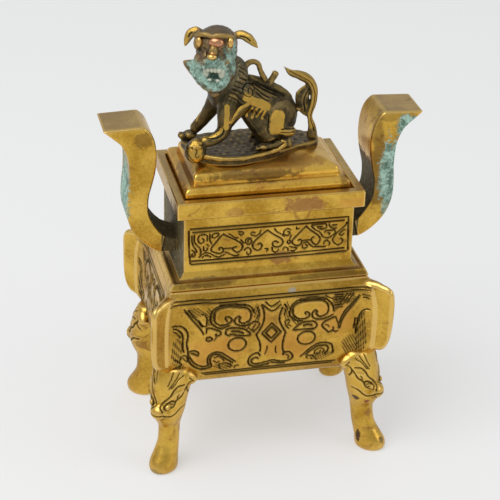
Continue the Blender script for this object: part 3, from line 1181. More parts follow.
leg = {"x": 66, "y": 45.5, "straightFrom": 44, "footInset": 1.9, "voxel": 0.55,
       "cutsRound": 12, "cutsUp": 84,
       # name, node, which corner, and how far the foot stands to the right
       "corners": [("FrontLeft", "leg_front_left", -1, -1, 2.2),
                   ("FrontRight", "leg_front_right", 1, -1, 0.6),
                   ("BackRight", "leg_back_right", 1, 1, 0), ("BackLeft", "leg_back_left", -1, 1, 3.2)],
       # lines in space, their width and depth; one with a negative depth stands up
       "lines": [
           # the cheeks, eyelids and brow stand up a little before their outlines are cut
           ([[(1, 8.6, 50.2), (3.4, 6.4, 47.8)]], 4.6, -0.35),
           ([[(-5, 10.6, 58), (-1, 8.2, 56), (2, 4.8, 52)]], 3.4, -0.5),
           ([[(-6, 10.6, 66), (-2, 7.4, 62.4)]], 3, -0.4),
           ([[(-0.6, 9.3, 51.3), (0.4, 8.1, 52.4), (1.7, 6.4, 51.5), (3, 4.4, 49.4), (4, 3.4, 47.3),
              (3.9, 5.5, 46.2), (3.6, 7.9, 47), (2.1, 9, 47.6), (0.2, 9.2, 49), (-0.6, 9.3, 51.3)],
             [(-6, 12, 61.7), (-3.8, 10.5, 62), (-1.9, 9, 60.7), (-0.3, 7.6, 57.9), (1.1, 6.3, 54.4),
              (3, 3.3, 51.5), (4.2, 1.6, 48.8), (5.4, 2.2, 46.6), (5.6, 3.8, 45.4)],
             [(-7.6, 12.6, 60.1), (-5.7, 12.1, 57.8), (-4.5, 11.5, 54.8), (-2.4, 10.5, 53.6),
              (-0.8, 9.3, 52)],
             [(-8.2, 10.9, 46.6), (-4.3, 10.8, 46.6), (-2.1, 10, 44.7), (-0.3, 8.8, 42.4),
              (2.4, 6.6, 40.9), (5, 5.4, 42.2), (5.9, 4.5, 43.6), (7, 3.4, 42.8), (8.3, 0, 42.4)],
             [(-9.6, 14.4, 62.6), (-7.8, 12.6, 60.1), (-8.3, 12.5, 57.1), (-10.4, 12, 55.1)]],
            1.15, 0.75),
           ([[(0.6, 8.4, 50.4), (1.9, 6.8, 50.2), (3.1, 5.2, 48.4), (3.2, 7.2, 48.2), (2.1, 8.4, 48.6)],
             [(-2.6, 10.4, 56.7), (-1.4, 9.6, 55.3), (-1.9, 10.1, 53.8)],
             [(-5.7, 8.6, 69.1), (-3, 7.6, 65.5), (-0.8, 6.4, 62.1), (0.6, 5.2, 59.6)],
             [(-6.6, 11.6, 68.1), (-4.6, 9.5, 65.9), (-2.4, 8.3, 63.4), (-0.1, 6.5, 60.1)],
             [(-4.4, 5.4, 69), (-1.6, 5, 65), (0.6, 4, 61)], [(5.4, 4, 45.4), (6, 3.4, 45)],
             [(5, 5.4, 42.2), (6.2, 3.4, 39.8), (5, 0, 38.4)], [(-9, 13.4, 66), (-11.6, 14.6, 63)]],
            0.85, 0.55)],
       # height, middle, half depth and half width
       "rings": [(0, 1.6, 9, 7.3), (1, 1.7, 9.8, 8), (3.5, 1.7, 10.3, 8.3), (7, 0.9, 9.9, 8),
                 (12, -1.6, 8.8, 7.1), (18, -4.3, 7.7, 6.3), (26, -5.8, 7.5, 6.1), (31, -6.2, 7.9, 6.6),
                 (36, -5.6, 9.4, 8.4), (42, -5.8, 10.3, 10.4), (50, -6.9, 10.6, 11.6),
                 (60, -9.3, 10.7, 12.8), (66, -10.7, 9.6, 12.3), (70, -10.9, 7.6, 10.4),
                 (71.4, -10.9, 5, 7)],
       # middle, three radii and the tip in degrees
       "eggs": [((2.2, 0, 43.4), (6.4, 6.2, 5.6), 24), ((5, 0, 43.2), (3.4, 3.6, 3), 0),
                ((-0.5, 0, 38.6), (5.6, 5.2, 3.4), 14)],
       "sideEggs": [((4.4, 2.4, 43.4), (2.4, 2, 2), 0), ((1.4, 5, 47.8), (3, 2.1, 2.4), 20)],
       "ears": [((-9, 5.6, 66.4), (-12.4, 10.8, 64.4), (-14.6, 14.2, 61.2)), (4.8, 4.6, 3)]}


def legShape():
    # one leg in its own axes: out, sideways, up
    body = openTube("leg", leg["cutsRound"], leg["cutsRound"], leg["cutsUp"])
    grid = getPoints(body)
    rings = np.array(leg["rings"])
    station = np.interp(grid[:, 2], np.linspace(0, 1, len(rings)), np.arange(len(rings)))
    height, middle, deep, broad = splineAt(rings, station).T
    angle = np.arctan2(grid[:, 1], grid[:, 0])
    setPoints(body, np.column_stack([middle + deep * np.cos(angle), broad * np.sin(angle), height]))
    closeEnds(body)
    parts = [body] + [addEgg(centre, radii, 0, tip) for centre, radii, tip in leg["eggs"]]
    for side in (-1, 1):
        for (out, across, up), radii, tip in leg["sideEggs"]:
            parts.append(addEgg((out, side * across, up), radii, side * tip))
        path, radii = leg["ears"]
        parts.append(addLimb([(out, side * across, up) for out, across, up in path], radii))
    body = fuse(parts, "leg", leg["voxel"], 6)
    for lines, width, deep in leg["lines"]:
        engraveSurface(body, [(bothSides(lines), width, deep)])
    return body


def makeLegs():
    shape = legShape()
    template = getPoints(shape)
    legs = []
    for name, _, signX, signY, shift in leg["corners"]:
        makeActive(shape)
        bpy.ops.object.duplicate()
        made = newest("leg" + name)
        out = np.array([signX, signY, 0]) / np.sqrt(2)
        across = np.array([-out[1], out[0], 0]) * signX * signY
        top = np.array([signX * leg["x"], signY * leg["y"], 0])
        points = top + template[:, :1] * out + template[:, 1:2] * across
        points[:, 2] = template[:, 2]
        share = np.clip(1 - points[:, 2] / leg["straightFrom"], 0, None)
        points[:, 0] += shift * share
        points[:, 1] -= signY * leg["footInset"] * share
        points[:, 2] -= points[:, 2].min()
        setPoints(made, points)
        recalculate(made)
        markHollows(made, 5, 0.9)
        legs.append(made)
    makeActive(shape)
    bpy.ops.object.delete()
    return legs


# Guardian lion on its plate, cast in one darker piece

lion = {"head": (-27.5, -4.5, 255), "faceTurn": -25, "headVoxel": 0.45, "bodyVoxel": 0.5,
        "tailVoxel": 0.45, "detailVoxel": 0.35, "bossVoxel": 0.4, "plateVoxel": 0.55, "plateTop": 195.6,
        "plateBottom": 191}


def headPlace(forward, sideways, up):
    turn = radians(lion["faceTurn"])
    x, y, z = lion["head"]
    return (x + sin(turn) * forward + cos(turn) * sideways,
            y - cos(turn) * forward + sin(turn) * sideways, z + up)


def headLine(places):
    return [headPlace(*place) for place in places]


def headFrame(points):
    # real places turned into forward, sideways and up of the head
    turn = radians(lion["faceTurn"])
    offset = points - np.array(lion["head"])
    return np.column_stack([sin(turn) * offset[:, 0] - cos(turn) * offset[:, 1],
                            cos(turn) * offset[:, 0] + sin(turn) * offset[:, 1], offset[:, 2]])


def headEgg(place, radii):
    return addEgg(headPlace(*place), radii, lion["faceTurn"] - 90)


def headLimb(path, radii, **shape):
    return addLimb(headLine(path), radii, **shape)


# places are forward, sideways and up in the head, and radii follow them
lionHead = {
    "eggs": [((0, 0, 2.5), (12.6, 12, 12.6)), ((-0.6, 0, 6), (13, 11.8, 10)),
             ((6.8, 0, -0.6), (9.8, 9.2, 8)), ((4.4, 0.6, -14.6), (10.2, 9, 6.8)),
             ((13, 1.2, 6), (3.2, 2.8, 4.4)), ((7, 0.8, -8), (6, 8.6, 6)),
             ((2, 0, 8.5), (11, 11.4, 7.4)), ((15.8, -2.4, 0.9), (2.4, 2.3, 2)),
             ((15.4, 3.6, 1.1), (2.4, 2.3, 2))],
    "pairs": [((8.6, 6.8, -1.6), (5, 4.4, 5.2)), ((3, 8.4, -8), (6, 4, 7)),
              ((8.6, 9, 8.4), (3, 2.6, 4.2))],
    "brow": ([(4.5, -12, 10.6), (9.6, -8.4, 13.8), (11.6, -3.6, 15), (11.8, 0, 14.4), (11.8, 3.6, 15.2),
              (9.8, 8.6, 14.6), (4.8, 12.2, 12.2)], (1.2, 1.5, 1.6, 1.4, 1.6, 1.5, 1.2)),
    "lips": [([(9, -8, -5.6), (13.4, -4.6, -3.4), (15, 0, -3), (13.4, 4.6, -3.4), (9, 8, -5.6)],
              (1.5, 1.5, 1.6, 1.5, 1.5)),
             ([(8.4, -7.6, -12.6), (12.2, -4.6, -13.2), (13.4, 0, -13.4), (12.2, 4.6, -13.2),
               (8.4, 7.6, -12.6)], (1.5,) * 5),
             ([(9, -6.8, -16), (12.4, -3.8, -16.8), (13.2, 0, -17), (12.4, 3.8, -16.8), (9, 6.8, -16)],
              (1.3,) * 5)],
    "leftEar": [(-1, -8.6, 9.6), (-1, -12, 11.8), (-0.6, -15, 10.8), (0, -17, 7.4), (0.4, -18.9, 1.6)],
    "rightEar": [(-1, 9, 10.6), (-1.2, 12.6, 12.2), (-0.6, 16, 12), (0.2, 20, 9.8), (0.8, 24.8, 5.4)],
    "earRadii": (2.2, 2.7, 2.9, 2.1, 0.3),
    "mouth": ((14.4, 1.4, -7.6), (8, 6.6, 4.8)),
    # the tuft of the mane under the left cheek, a flat three-cornered fin, in real places
    "tuft": [([(-27, -11, 231), (-34, -7, 239), (-46.4, 2.2, 248.6)], (3.2, 4.6, 0.6)),
             ([(-33, -8, 246), (-39, -4, 248), (-46.4, 2.2, 249)], (6, 3.6, 0.6))],
    "grooves": [[(3, -12.6, 12), (2, -14.8, 12), (1.6, -16.8, 8.4)],
                [(2.4, 13, 12), (1.6, 16.4, 12), (2, 20, 10)],
                [(12, 7, 8), (13.4, 4.8, 5.4), (14.4, 4, 3.2)],
                [(12, -5, 7), (13.4, -2.6, 5), (14.4, -2.4, 3.2)], [(10, -9.6, 0), (11.6, -8, -3)],
                [(10, 9.6, 0), (11.6, 8, -3)]],
    "polished": [[(0, -13, 13.6), (0.4, -15.6, 12.8), (1, -17.6, 8.8), (1, -18.8, 3)],
                 [(0, 13, 12.8), (0.4, 16.2, 12.6), (1, 19.8, 10.8), (1, 23, 7.4)]],
    "noseAndEyes": [((15.9, 1, 4), (2.7, 2.9, 1.9)), ((14.4, 1.2, 5.6), (2, 1.7, 2.2)),
                    ((10.4, -7.6, 9.8), (2.2, 2, 3.2)), ((10, 10.2, 11), (2.2, 1.8, 3.2))],
    "boss": [((12, 2.4, 11.2), (3, 4.6, 3.1))],
    "teeth": [((12, 1.4 + side * 4.4, -6.6), (1.9, 2, 3.6)) for side in (-1, 1)]
    + [((13.8, sideways, -4.6), (1.3, 1.3, 2)) for sideways in (-1.4, 0.6, 2.6, 4.6)]
    + [((12.4, sideways, -11.6), (1, 1.4, 1.1)) for sideways in (-0.8, 3.6)],
}


def manePaths():
    # strands down the back of the head, then shorter ones behind each cheek
    strands = [[(-4, s, 14), (-10, 1.15 * s, 9), (-13, 1.2 * s, 1), (-12, 1.1 * s, -8)]
               for s in np.arange(-9.2, 9.3, 2.3)]
    cheeks = [[(4 - 2 * i, side * 12, 6 - 4 * i), (-4 - i, side * 12.4, 3 - 4 * i),
               (-8, side * 10, -3 - 3 * i)]
              for i in range(4) for side in (-1, 1)]
    return strands + cheeks


def pushMouth(head):
    # the mouth is pushed straight back into the head
    points = getPoints(head)
    local = headFrame(points)
    middle, reach = (np.array(value) for value in lionHead["mouth"])
    inside = ((local - middle) / reach) ** 2
    hit = inside.sum(1) < 1
    back = middle[0] - reach[0] * np.sqrt(np.clip(1 - inside[:, 1] - inside[:, 2], 0, 1))
    forward = np.array(headPlace(1, 0, 0)) - np.array(headPlace(0, 0, 0))
    points[hit] += (back[hit] - local[hit, 0])[:, None] * forward
    setPoints(head, points)
    remesh(head, lion["headVoxel"], 2)


def makeLionHead():
    parts = [headEgg(place, radii) for place, radii in lionHead["eggs"]]
    for (forward, sideways, up), radii in lionHead["pairs"]:
        parts += [headEgg((forward, side * sideways, up), radii) for side in (-1, 1)]
    for ear in (lionHead["leftEar"], lionHead["rightEar"]):
        parts.append(headLimb(ear, lionHead["earRadii"], flat=0.5, axis=(-0.4, -0.9, 0.5)))
    parts += [headLimb(path, radii) for path, radii in [lionHead["brow"]] + lionHead["lips"]]
    parts += [addLimb(path, radii, 0.5, (-0.5, -0.8, 0.2)) for path, radii in lionHead["tuft"]]
    head = fuse(parts, "lionHead", lion["headVoxel"], 3)
    pushMouth(head)
    engraveSurface(head, [([headLine(line) for line in lionHead["grooves"]], 1.1, 0.5),
                          ([headLine(line) for line in manePaths()], 0.9, 0.45)])
    paint(head, "polish", [(headLine(ear), 4.6) for ear in lionHead["polished"]])
    markHollows(head, 4, 0.7)
    roughen(head, 0.06)
    return head


def makeFaceDetail(name, kind, voxel):
    piece = fuse([headEgg(place, radii) for place, radii in lionHead[kind]], name, voxel, 2)
    markHollows(piece, 3, 0.8)
    return piece


# real places, then radii
lionBody = {
    "limbs": [
        ([(-22, -1, 229), (-7, 0, 225.5), (9, 1, 216)], (12.4, 11, 11.6)),
        ([(-18.6, -4, 234), (-21, -9, 228), (-23, -11.6, 221), (-23.6, -12.8, 214), (-25.6, -13, 208.6),
          (-31.6, -13, 204.6), (-39, -13.4, 204.6)],
         (4, 6.4, 5.4, 4.6, 4, 3.4, 3.4)),
        ([(-20, 3, 234), (-23, 5, 229), (-28.4, 8.6, 214), (-38.4, 12, 199.6)], (3.6, 5.4, 4, 3.2)),
        ([(-13, -5, 243), (-8.6, -5, 248.4), (-3.6, -5, 248), (-1, -4, 242), (2.6, -3, 235)],
         (2.4, 1.7, 1.6, 1.7, 2)),
        ([(3.4, -2, 231), (9, -2, 241)], (1.9, 2.1)),
        ([(20, -4, 217.4), (24, -4.4, 216.6)], (1.6, 0.9)),
        ([(-11, -2, 221), (-4, -3.6, 213.6), (3, -6, 206), (6, -7, 200)], (5, 6.6, 8, 7)),
        ([(-11, 2, 221), (-4, 3.6, 213.6), (3, 6, 206), (6, 7, 200)], (5, 6.6, 8, 7)),
        ([(-9, -9.6, 226.4), (-15, -11, 221.4), (-20, -13.6, 217.6), (-23.4, -14, 212)],
         (2.6, 2.4, 2.2, 1.6)),
        ([(-10, -8.6, 222.6), (-15.4, -10.4, 218), (-21, -14, 213.6)], (2.2, 2, 1.6)),
        ([(-10, -1, 238), (2, -1, 233.4), (14, -0.6, 226.6), (19, 0, 221)], (2.6, 3, 2.8, 2)),
    ],
    "eggs": [((-23, -2, 231.5), (9, 10.6, 13)), ((11.4, 1, 213), (11.4, 12.6, 14)),
             ((-20, -1, 241), (12, 12.4, 11.5)), ((-39.6, 12, 198.2), (4.4, 4, 2.8)),
             ((-41, -13.2, 198.6), (6.4, 6.6, 7)), ((-40.6, -14.2, 204.4), (4, 3.8, 2.6)),
             ((-13, -7.4, 228), (8, 5, 8)), ((-13, 7.4, 228), (8, 5, 8))],
    "pairs": [((8.4, 9.2, 211.6), (8.2, 5.4, 11.6)), ((11, 8, 216), (9, 5.4, 9)),
              ((14, 12, 206.8), (5.6, 3.4, 3.6)), ((0.6, 10.6, 197), (3.4, 3, 2.2))],
    "toes": [((-44, -16.2, 203.2), (2, 1.4, 1.6)), ((-42.2, -18, 203), (1.8, 1.5, 1.7)),
             ((-39.8, -18.2, 203.2), (1.8, 1.5, 1.6)), ((-44.6, 10, 198), (2, 1.5, 1.8)),
             ((-45.2, 12.4, 197.8), (1.8, 1.4, 1.7)), ((-44.4, 14.6, 197.8), (1.8, 1.4, 1.6)),
             ((-3, -9.8, 196.6), (1.4, 1.2, 1.2)), ((-3.4, -11.8, 196.6), (1.4, 1.2, 1.2))],
    # lines cut into the near side and, mirrored, into the far side
    "cuts": [
        ([[(-5.7, -8.5, 232.7), (-6, -6.4, 234.9), (-8.6, -6.1, 236.2), (-11.7, -8.5, 236.2),
           (-13.1, -10.2, 233.8), (-12.2, -11.3, 231.1), (-9.1, -11, 229.6), (-6.7, -10, 231),
           (-7.2, -8.5, 233.6), (-9.1, -8.5, 234.5), (-10.4, -9.6, 233.4), (-9.8, -10.3, 232.1)],
          [(-15.2, -12.1, 242.4), (-6.1, -5.3, 235.7), (1.9, -6.5, 230.6), (7.4, -6, 227.7)],
          [(-5.1, -7.4, 233.8), (0, -8.5, 229.2), (3.9, -8.3, 227.3)],
          [(-4.6, -9, 231.3), (-0.2, -9.7, 227.4), (2.8, -9.6, 225.6)],
          [(-36, -14, 208), (-32, -15, 206.6), (-28.4, -16, 207.4), (-25, -16.6, 211),
           (-25.6, -16, 214), (-28, -15, 213.4)],
          [(1.6, -13, 220), (1.2, -14, 213), (2.4, -15, 207)],
          [(10, -15, 209.4), (18, -14, 209.4)], [(9.4, -15.2, 207.2), (17.6, -14, 207.2)],
          [(9.6, -15, 205), (17, -14, 205)]],
         0.8, 0.4),
        ([[(-10.6, -9, 221), (-9, -9, 219.4), (-8.6, -8, 217)],
          [(-7.6, -9, 221), (-6.2, -9, 219), (-6, -8, 216.4)],
          [(-5, -9, 220.6), (-3.8, -9, 218.2), (-4, -8, 215.6)],
          [(-14.3, -10, 225.4), (-19, -13.6, 221.6), (-21.6, -15, 217.6)],
          [(-14.4, -10, 221), (-19, -13, 217.6), (-22.6, -15, 213)]]
         + [[(-8 + 5 * i, -3 - side, 238 - 2.7 * i), (-1 + 5 * i, -3.4 - side, 234.2 - 2.9 * i)]
            for i in range(4) for side in (0, 1.6, 3.2)]
         + [[(-15.4 - 0.9 * i, -9 - 0.5 * i, 248 - 2.4 * i),
             (-7.4 - 0.8 * i, -8.4 - 0.3 * i, 243 - 2.6 * i)] for i in range(8)],
         0.7, 0.35),
    ],
    "gold": [([(-22.9, -14.4, 226), (-23.4, -16, 221.4), (-23.6, -17.2, 214)], 4.6),
             ([(-10.2, -11.4, 225.6), (-14.5, -11, 222.6), (-19, -15.1, 220), (-21.5, -16.5, 217)],
              2.8),
             ([(-10.8, -10.8, 222.7), (-15, -12, 219.4), (-20.3, -16, 216.4)], 2.4),
             ([(-35.1, -13.6, 207.5), (-32.6, -14, 207.4), (-29.9, -15, 208.5), (-27.1, -15.7, 210.6),
               (-26.2, -16.5, 213.2)], 3),
             ([(-12, -11.6, 229.4), (-8, -10.9, 227.2)], 5),
             ([(-8, -10.9, 227), (-3, -10.6, 225), (1.4, -10.2, 222.6)], 8),
             ([(-12.4, -10.2, 233.4), (-11, -11.1, 231), (-8.3, -10.8, 229.9)], 3.2),
             ([(-9.6, -7.2, 216.4), (-8.9, -9.2, 219.9), (-6.9, -10.2, 222.4)], 2.2),
             ([(-6.5, -7.7, 215.4), (-5.9, -9.5, 219), (-4.2, -10.3, 221.6)], 2.2),
             ([(-3.7, -7.8, 214.4), (-3, -9.7, 218), (-1.4, -10.3, 220.6)], 2.2),
             ([(-1, -8, 214), (-0.4, -9.7, 217), (0.8, -10.3, 219.6)], 2),
             ([(7.6, -13, 217), (7.2, -14, 213), (6.6, -15, 209.6)], 12.6),
             ([(11, -14, 207.6), (17, -13, 206)], 5), ([(-33.6, 10, 216), (-36, 9, 208)], 2)],
    "goldNear": [([(-41, -19, 204), (-42.6, -19, 199), (-41, -18.6, 193)], 13),
                 ([(-41, -15, 206), (-36, -15, 206.6)], 3.4)],
    "hindFoot": ([(17, 9.5, 199.6), (9, 10.5, 197.6), (0, 10.8, 196.8)], (4.4, 3, 2.2)),
    "ballCuts": [[(-44.4, -17, 203), (-41, -19.6, 201.6), (-42.6, -19.6, 198.6), (-41.2, -19.6, 196.6),
                  (-40, -19.6, 198)],
                 [(-46, -15.6, 200), (-45, -17.4, 197), (-43.4, -18.6, 194.6)]],
}


def makeLionBody():
    shape = lionBody
    parts = [addLimb(path, radii) for path, radii in shape["limbs"]]
    parts += [addEgg(place, radii) for place, radii in shape["eggs"] + shape["toes"]]
    path, footRadii = shape["hindFoot"]
    for side in (-1, 1):
        parts += [addEgg((x, side * y, z), radii) for (x, y, z), radii in shape["pairs"]]
        parts.append(addLimb([(x, side * y, z) for x, y, z in path], footRadii))
    body = fuse(parts, "lionBody", lion["bodyVoxel"], 9)
    engraveSurface(body, [(bothSides(lines), width, deep) for lines, width, deep in shape["cuts"]]
                   + [(shape["ballCuts"], 0.9, 0.5)])
    paint(body, "polish", mirroredStrokes(shape["gold"]) + shape["goldNear"])
    # the mane on the neck and shoulders is paler
    points = getPoints(body)
    setMask(body, "patina", np.clip((points[:, 2] - 231 + 0.3 * points[:, 0] + 4) / 4, 0, 1)
            * np.clip((-7 - points[:, 0]) / 3, 0, 1))
    markHollows(body, 4, 0.7)
    roughen(body, 0.09)
    return body


# the stem and the leaf as paths, radii and flatness, then the lines cut into both faces and the gold
lionTail = {
    "limbs": [([(32.6, 0, 194), (32.4, 0, 203), (30.6, 0, 211), (32.4, 0, 219), (32.4, 0, 227),
                (29, 0, 233.4), (23, 0, 237), (18, 0, 238.6), (13, 0, 243.4)],
               (4, 2.8, 1.6, 2.1, 2.3, 2.7, 3.1, 2.2, 0.3), 0.5),
              ([(29.6, 0, 231.6), (25.6, 0, 224), (26.6, 0, 216), (30, 0, 209.6)], (0.8, 4.4, 4, 0.6),
               0.35)],
    "cuts": [[(33.6, -1.6, 201), (31.4, -1.4, 209), (32.6, -1.6, 217), (33, -1.6, 225), (30, -1.6, 232),
              (24, -1.8, 236), (17, -1, 240)],
             [(29.4, -1, 228), (26.4, -1.4, 222), (27.4, -1.2, 214)]],
    "gold": [([(31.6, -2, 204), (30.8, -1.4, 211), (32.8, -2, 219), (32.6, -2, 227), (29.6, -2, 233)],
              4.2),
             ([(28, -2, 234.4), (23, -2, 237.6), (17, -1, 240.4)], 4)],
}


def makeLionTail():
    limbs = [addLimb(path, radii, flat, (0, 1, 0)) for path, radii, flat in lionTail["limbs"]]
    tail = fuse(limbs, "lionTail", lion["tailVoxel"], 2)
    engraveSurface(tail, [(bothSides(lionTail["cuts"]), 0.8, 0.4)])
    paint(tail, "polish", mirroredStrokes(lionTail["gold"]))
    markHollows(tail, 4, 0.9)
    return tail


lionPlate = {
    "outline": [(-40, -12), (-35, -17), (-27, -20.6), (-16, -21.6), (-4, -19), (9, -14.6), (22, -8),
                (32, -5), (36.6, 0), (35, 9), (22, 18), (2, 21.6), (-18, 20.4), (-36, 17.4), (-45, 12),
                (-42, -2)],
    "ribbon": [(-38, -15.4, 196.4), (-26.6, -19.6, 195.4), (-15.6, -20.6, 195.2), (-4, -18, 195.4),
               (4, -16, 196), (9.6, -15.4, 197.8), (12.6, -15.2, 200.6), (11, -15.4, 202.4),
               (8.8, -15.6, 201.2)],
    "ribbonRadii": (1.5, 1.5, 1.5, 1.5, 1.4, 1.4, 1.3, 1.2, 0.8), "hollowDeep": 1.6, "waveHeight": 0.07,
}


def makeLionPlate():
    outline = smoothLine(lionPlate["outline"] + lionPlate["outline"][:1], 2)[:-1]
    deselectAll()
    bpy.ops.mesh.primitive_circle_add(vertices=len(outline), radius=1, fill_type="NGON")
    plate = newest("lionPlate")
    setPoints(plate, np.column_stack([outline, np.full(len(outline), lion["plateBottom"])]))
    bpy.ops.object.mode_set(mode="EDIT")
    bpy.ops.mesh.select_all(action="SELECT")
    bpy.ops.mesh.extrude_region_move(TRANSFORM_OT_translate={
        "value": (0, 0, lion["plateTop"] - lion["plateBottom"])})
    bpy.ops.object.mode_set(mode="OBJECT")
    ribbon = addLimb(lionPlate["ribbon"], lionPlate["ribbonRadii"], rings=90)
    plate = fuse([plate, ribbon], "lionPlate", lion["plateVoxel"], 2)
    # the top sinks in the middle and is left rough
    points = getPoints(plate)
    far = np.hypot((points[:, 0] + 12) / 28, points[:, 1] / 15)
    top = points[:, 2] > lion["plateTop"] - 1
    points[:, 2] -= np.where(top, lionPlate["hollowDeep"] * np.clip(1 - far, 0, 1), 0)
    wave = 0
    for k in range(1, 10):
        across = points[:, 0] * cos(2.4 * k) + points[:, 1] * sin(2.4 * k)
        wave = wave + np.sin(across * (0.6 + 0.13 * k) + k)
    points[:, 2] += np.where(top & (points[:, 1] > -16), lionPlate["waveHeight"] * wave, 0)
    setPoints(plate, points)
    paint(plate, "polish", [(lionPlate["ribbon"], 4.6)])
    markHollows(plate, 4, 0.9)
    return plate


# The pieces, finished one after the other

rust, orange, brown = (0.25, 0.09, 0.055), (0.62, 0.30, 0.06), (0.10, 0.05, 0.02)
brassVessel = makeBronze("brassVessel", patches=[
    ((19, -39, 171), (12, 4, 5.4), 0.62, 0.2, rust, 0.34),
    ((8, -34, 135), (7, 3, 4.4), 0.6, 0.2, rust, 0.36),
    ((-22, -39, 170), (6, 3, 3), 0.35, 0.2, rust, 0.34),
    ((50, -39, 169), (10, 4, 5), 0.5, 0.1, orange, 0.3),
    ((-40, -38, 124), (22, 4, 4), 0.6, 0.08, brown, 0.3),
    ((36, -40, 123.6), (26, 4, 3), 0.55, 0.08, brown, 0.3)])
brassBelly = makeBronze("brassBelly", light=(0.68, 0.41, 0.07), deep=(0.38, 0.20, 0.022), patches=[
    ((-34, -45, 82), (18, 6, 12), 0.55, 0.06, orange, 0.3),
    ((12, -45, 80), (16, 6, 10), 0.5, 0.06, orange, 0.3),
    ((38, -45, 96), (14, 6, 12), 0.55, 0.06, orange, 0.3),
    ((-12, -45, 100), (12, 6, 8), 0.4, 0.06, orange, 0.3),
    ((13, -43, 117), (2.6, 3, 1.6), 0.8, 0.5, (0.42, 0.40, 0.34), 0.5),
    ((58, -42, 82), (5, 5, 15), 0.5, 0.3, brown, 0.4)])
finishPiece(makeBelly(), brassBelly, nodes=("vessel",))
finishPiece(makeFlanges(), brassVessel)
finishPiece(makeNeck(), brassVessel)

brassLid = makeBronze("brassLid", light=(0.86, 0.53, 0.09), deep=(0.60, 0.31, 0.035),
                      tarnish=(0.42, 0.18, 0.04), tarnishAmount=0.85, hollowShade=0.7,
                      filmAmount=0.15, patches=[
    ((-8, -27, 186.4), (30, 5, 3.4), 0.75, 0.16, brown, 0.42),
    ((14, -20, 191), (26, 7, 4), 0.55, 0.05, (0.36, 0.15, 0.03), 0.34),
    ((-47, -8, 186), (6, 18, 8), 0.6, 0.12, (0.22, 0.15, 0.09), 0.45),
    ((47, -28, 180), (5, 5, 5), 0.6, 0.2, brown, 0.4)])
finishPiece(makeLid(), brassLid, nodes=("lid",))

leftHandle = makeBronze("leftHandle", patches=[
    ((-72, -15, 208), (6, 4, 5), 0.5, 0.2, brown, 0.4)], crusts=[
    ((-82.4, 0.4, 172), (5, 15.4, 26), 1, 0.4)])
rightHandle = makeBronze("rightHandle", patches=[
    ((70, -15, 178), (7, 5, 26), 0.6, 0.05, brown, 0.36),
    ((68, -15, 205), (5, 5, 9), 0.5, 0.1, brown, 0.36),
    ((78, -14, 214), (12, 8, 4), 0.4, 0.1, brown, 0.36)], crusts=[
    ((79, -14.5, 175), (7.4, 5, 23), 1, 0.35), ((87, -14, 206), (6, 5, 8), 1, 0.4),
    ((79, -14, 153), (4, 4, 7), 0.7, 0.5)])
finishPiece(makeHandle(-1, -1), leftHandle, nodes=("handle_left",))
finishPiece(makeHandle(1, 0.9), rightHandle, nodes=("handle_right",))

brassLeg = makeBronze("brassLeg", roughness=0.29, edgeShine=0.5, filmAmount=0.12, tarnishAmount=0.7,
                      patches=[
    ((55.4, -48.1, 39), (2.6, 2.6, 2.2), 1, 0.4, brown, 0.4),
    ((62.2, -50.3, 36.7), (1.6, 1.6, 1.4), 0.9, 0.5, rust, 0.4),
    ((59.1, -46.6, 9.1), (1.8, 2.2, 4.4), 1, 0.4, brown, 0.4),
    ((73.1, -52.1, 7.3), (2, 2, 2.2), 0.9, 0.5, brown, 0.4),
    ((-71.7, -52, 1.6), (5, 4, 2.6), 1, 0.4, brown, 0.4),
    ((66, -50, 26), (5, 4, 4), 0.5, 0.3, rust, 0.36)])
for made, (_, node, *_) in zip(makeLegs(), leg["corners"]):
    finishPiece(made, brassLeg, nodes=(node,), angle=80)

lionFinish = {"light": (0.14, 0.10, 0.042), "deep": (0.042, 0.035, 0.02),
              "tarnish": (0.028, 0.032, 0.022), "cloudSize": 0.12, "dark": (0.012, 0.012, 0.008),
              "roughness": 0.34, "film": (0.17, 0.13, 0.08), "filmAmount": 0.5,
              "edge": (0.42, 0.28, 0.08), "edgeShine": 0.7, "polish": (0.66, 0.40, 0.07),
              "grime": (0.03, 0.025, 0.012), "grimeShare": 0.35, "bump": 0.8, "grain": 0.3, "pits": 0.8,
              "patina": (0.15, 0.125, 0.075), "patinaPale": (0.36, 0.33, 0.2)}
darkLion = makeBronze("darkLion", **lionFinish)
crustedLion = makeBronze("crustedLion", **{**lionFinish, "light": (0.26, 0.17, 0.09),
                                           "deep": (0.14, 0.10, 0.055)}, crusts=[
    ((-31, -18, 246), (10, 9, 10), 1, 0.5), ((-20, -15, 257), (6, 6, 11), 0.9, 0.5),
    ((-37, -8, 247), (10, 9, 9), 1, 0.5), ((-33, -20, 256), (5, 4, 3), 1, 0.6)])
copper = makeBronze("copperBoss", light=(0.52, 0.24, 0.12), deep=(0.34, 0.14, 0.07),
                    edge=(0.6, 0.32, 0.18))
rubbedGold = makeBronze("rubbedGold", light=(0.66, 0.36, 0.10), deep=(0.45, 0.2, 0.05))
tooth = makeBronze("paleTeeth", light=(0.62, 0.62, 0.48), deep=(0.42, 0.46, 0.36), edge=(0.7, 0.7, 0.6),
                   roughness=0.6, tarnish=(0.25, 0.36, 0.3))
lionLook = {"slot": "dark_bronze", "angle": 80}
finishPiece(makeLionBody(), darkLion, nodes=("lion_finial",), **lionLook)
finishPiece(makeLionHead(), crustedLion, **lionLook)
finishPiece(makeLionTail(), darkLion, **lionLook)
finishPiece(makeLionPlate(), darkLion, **lionLook)
finishPiece(makeFaceDetail("lionNoseAndEyes", "noseAndEyes", lion["detailVoxel"]), rubbedGold,
            **lionLook)
finishPiece(makeFaceDetail("lionBoss", "boss", lion["bossVoxel"]), copper, **lionLook)
finishPiece(makeFaceDetail("lionTeeth", "teeth", lion["detailVoxel"]), tooth, **lionLook)


# Camera, light and floor

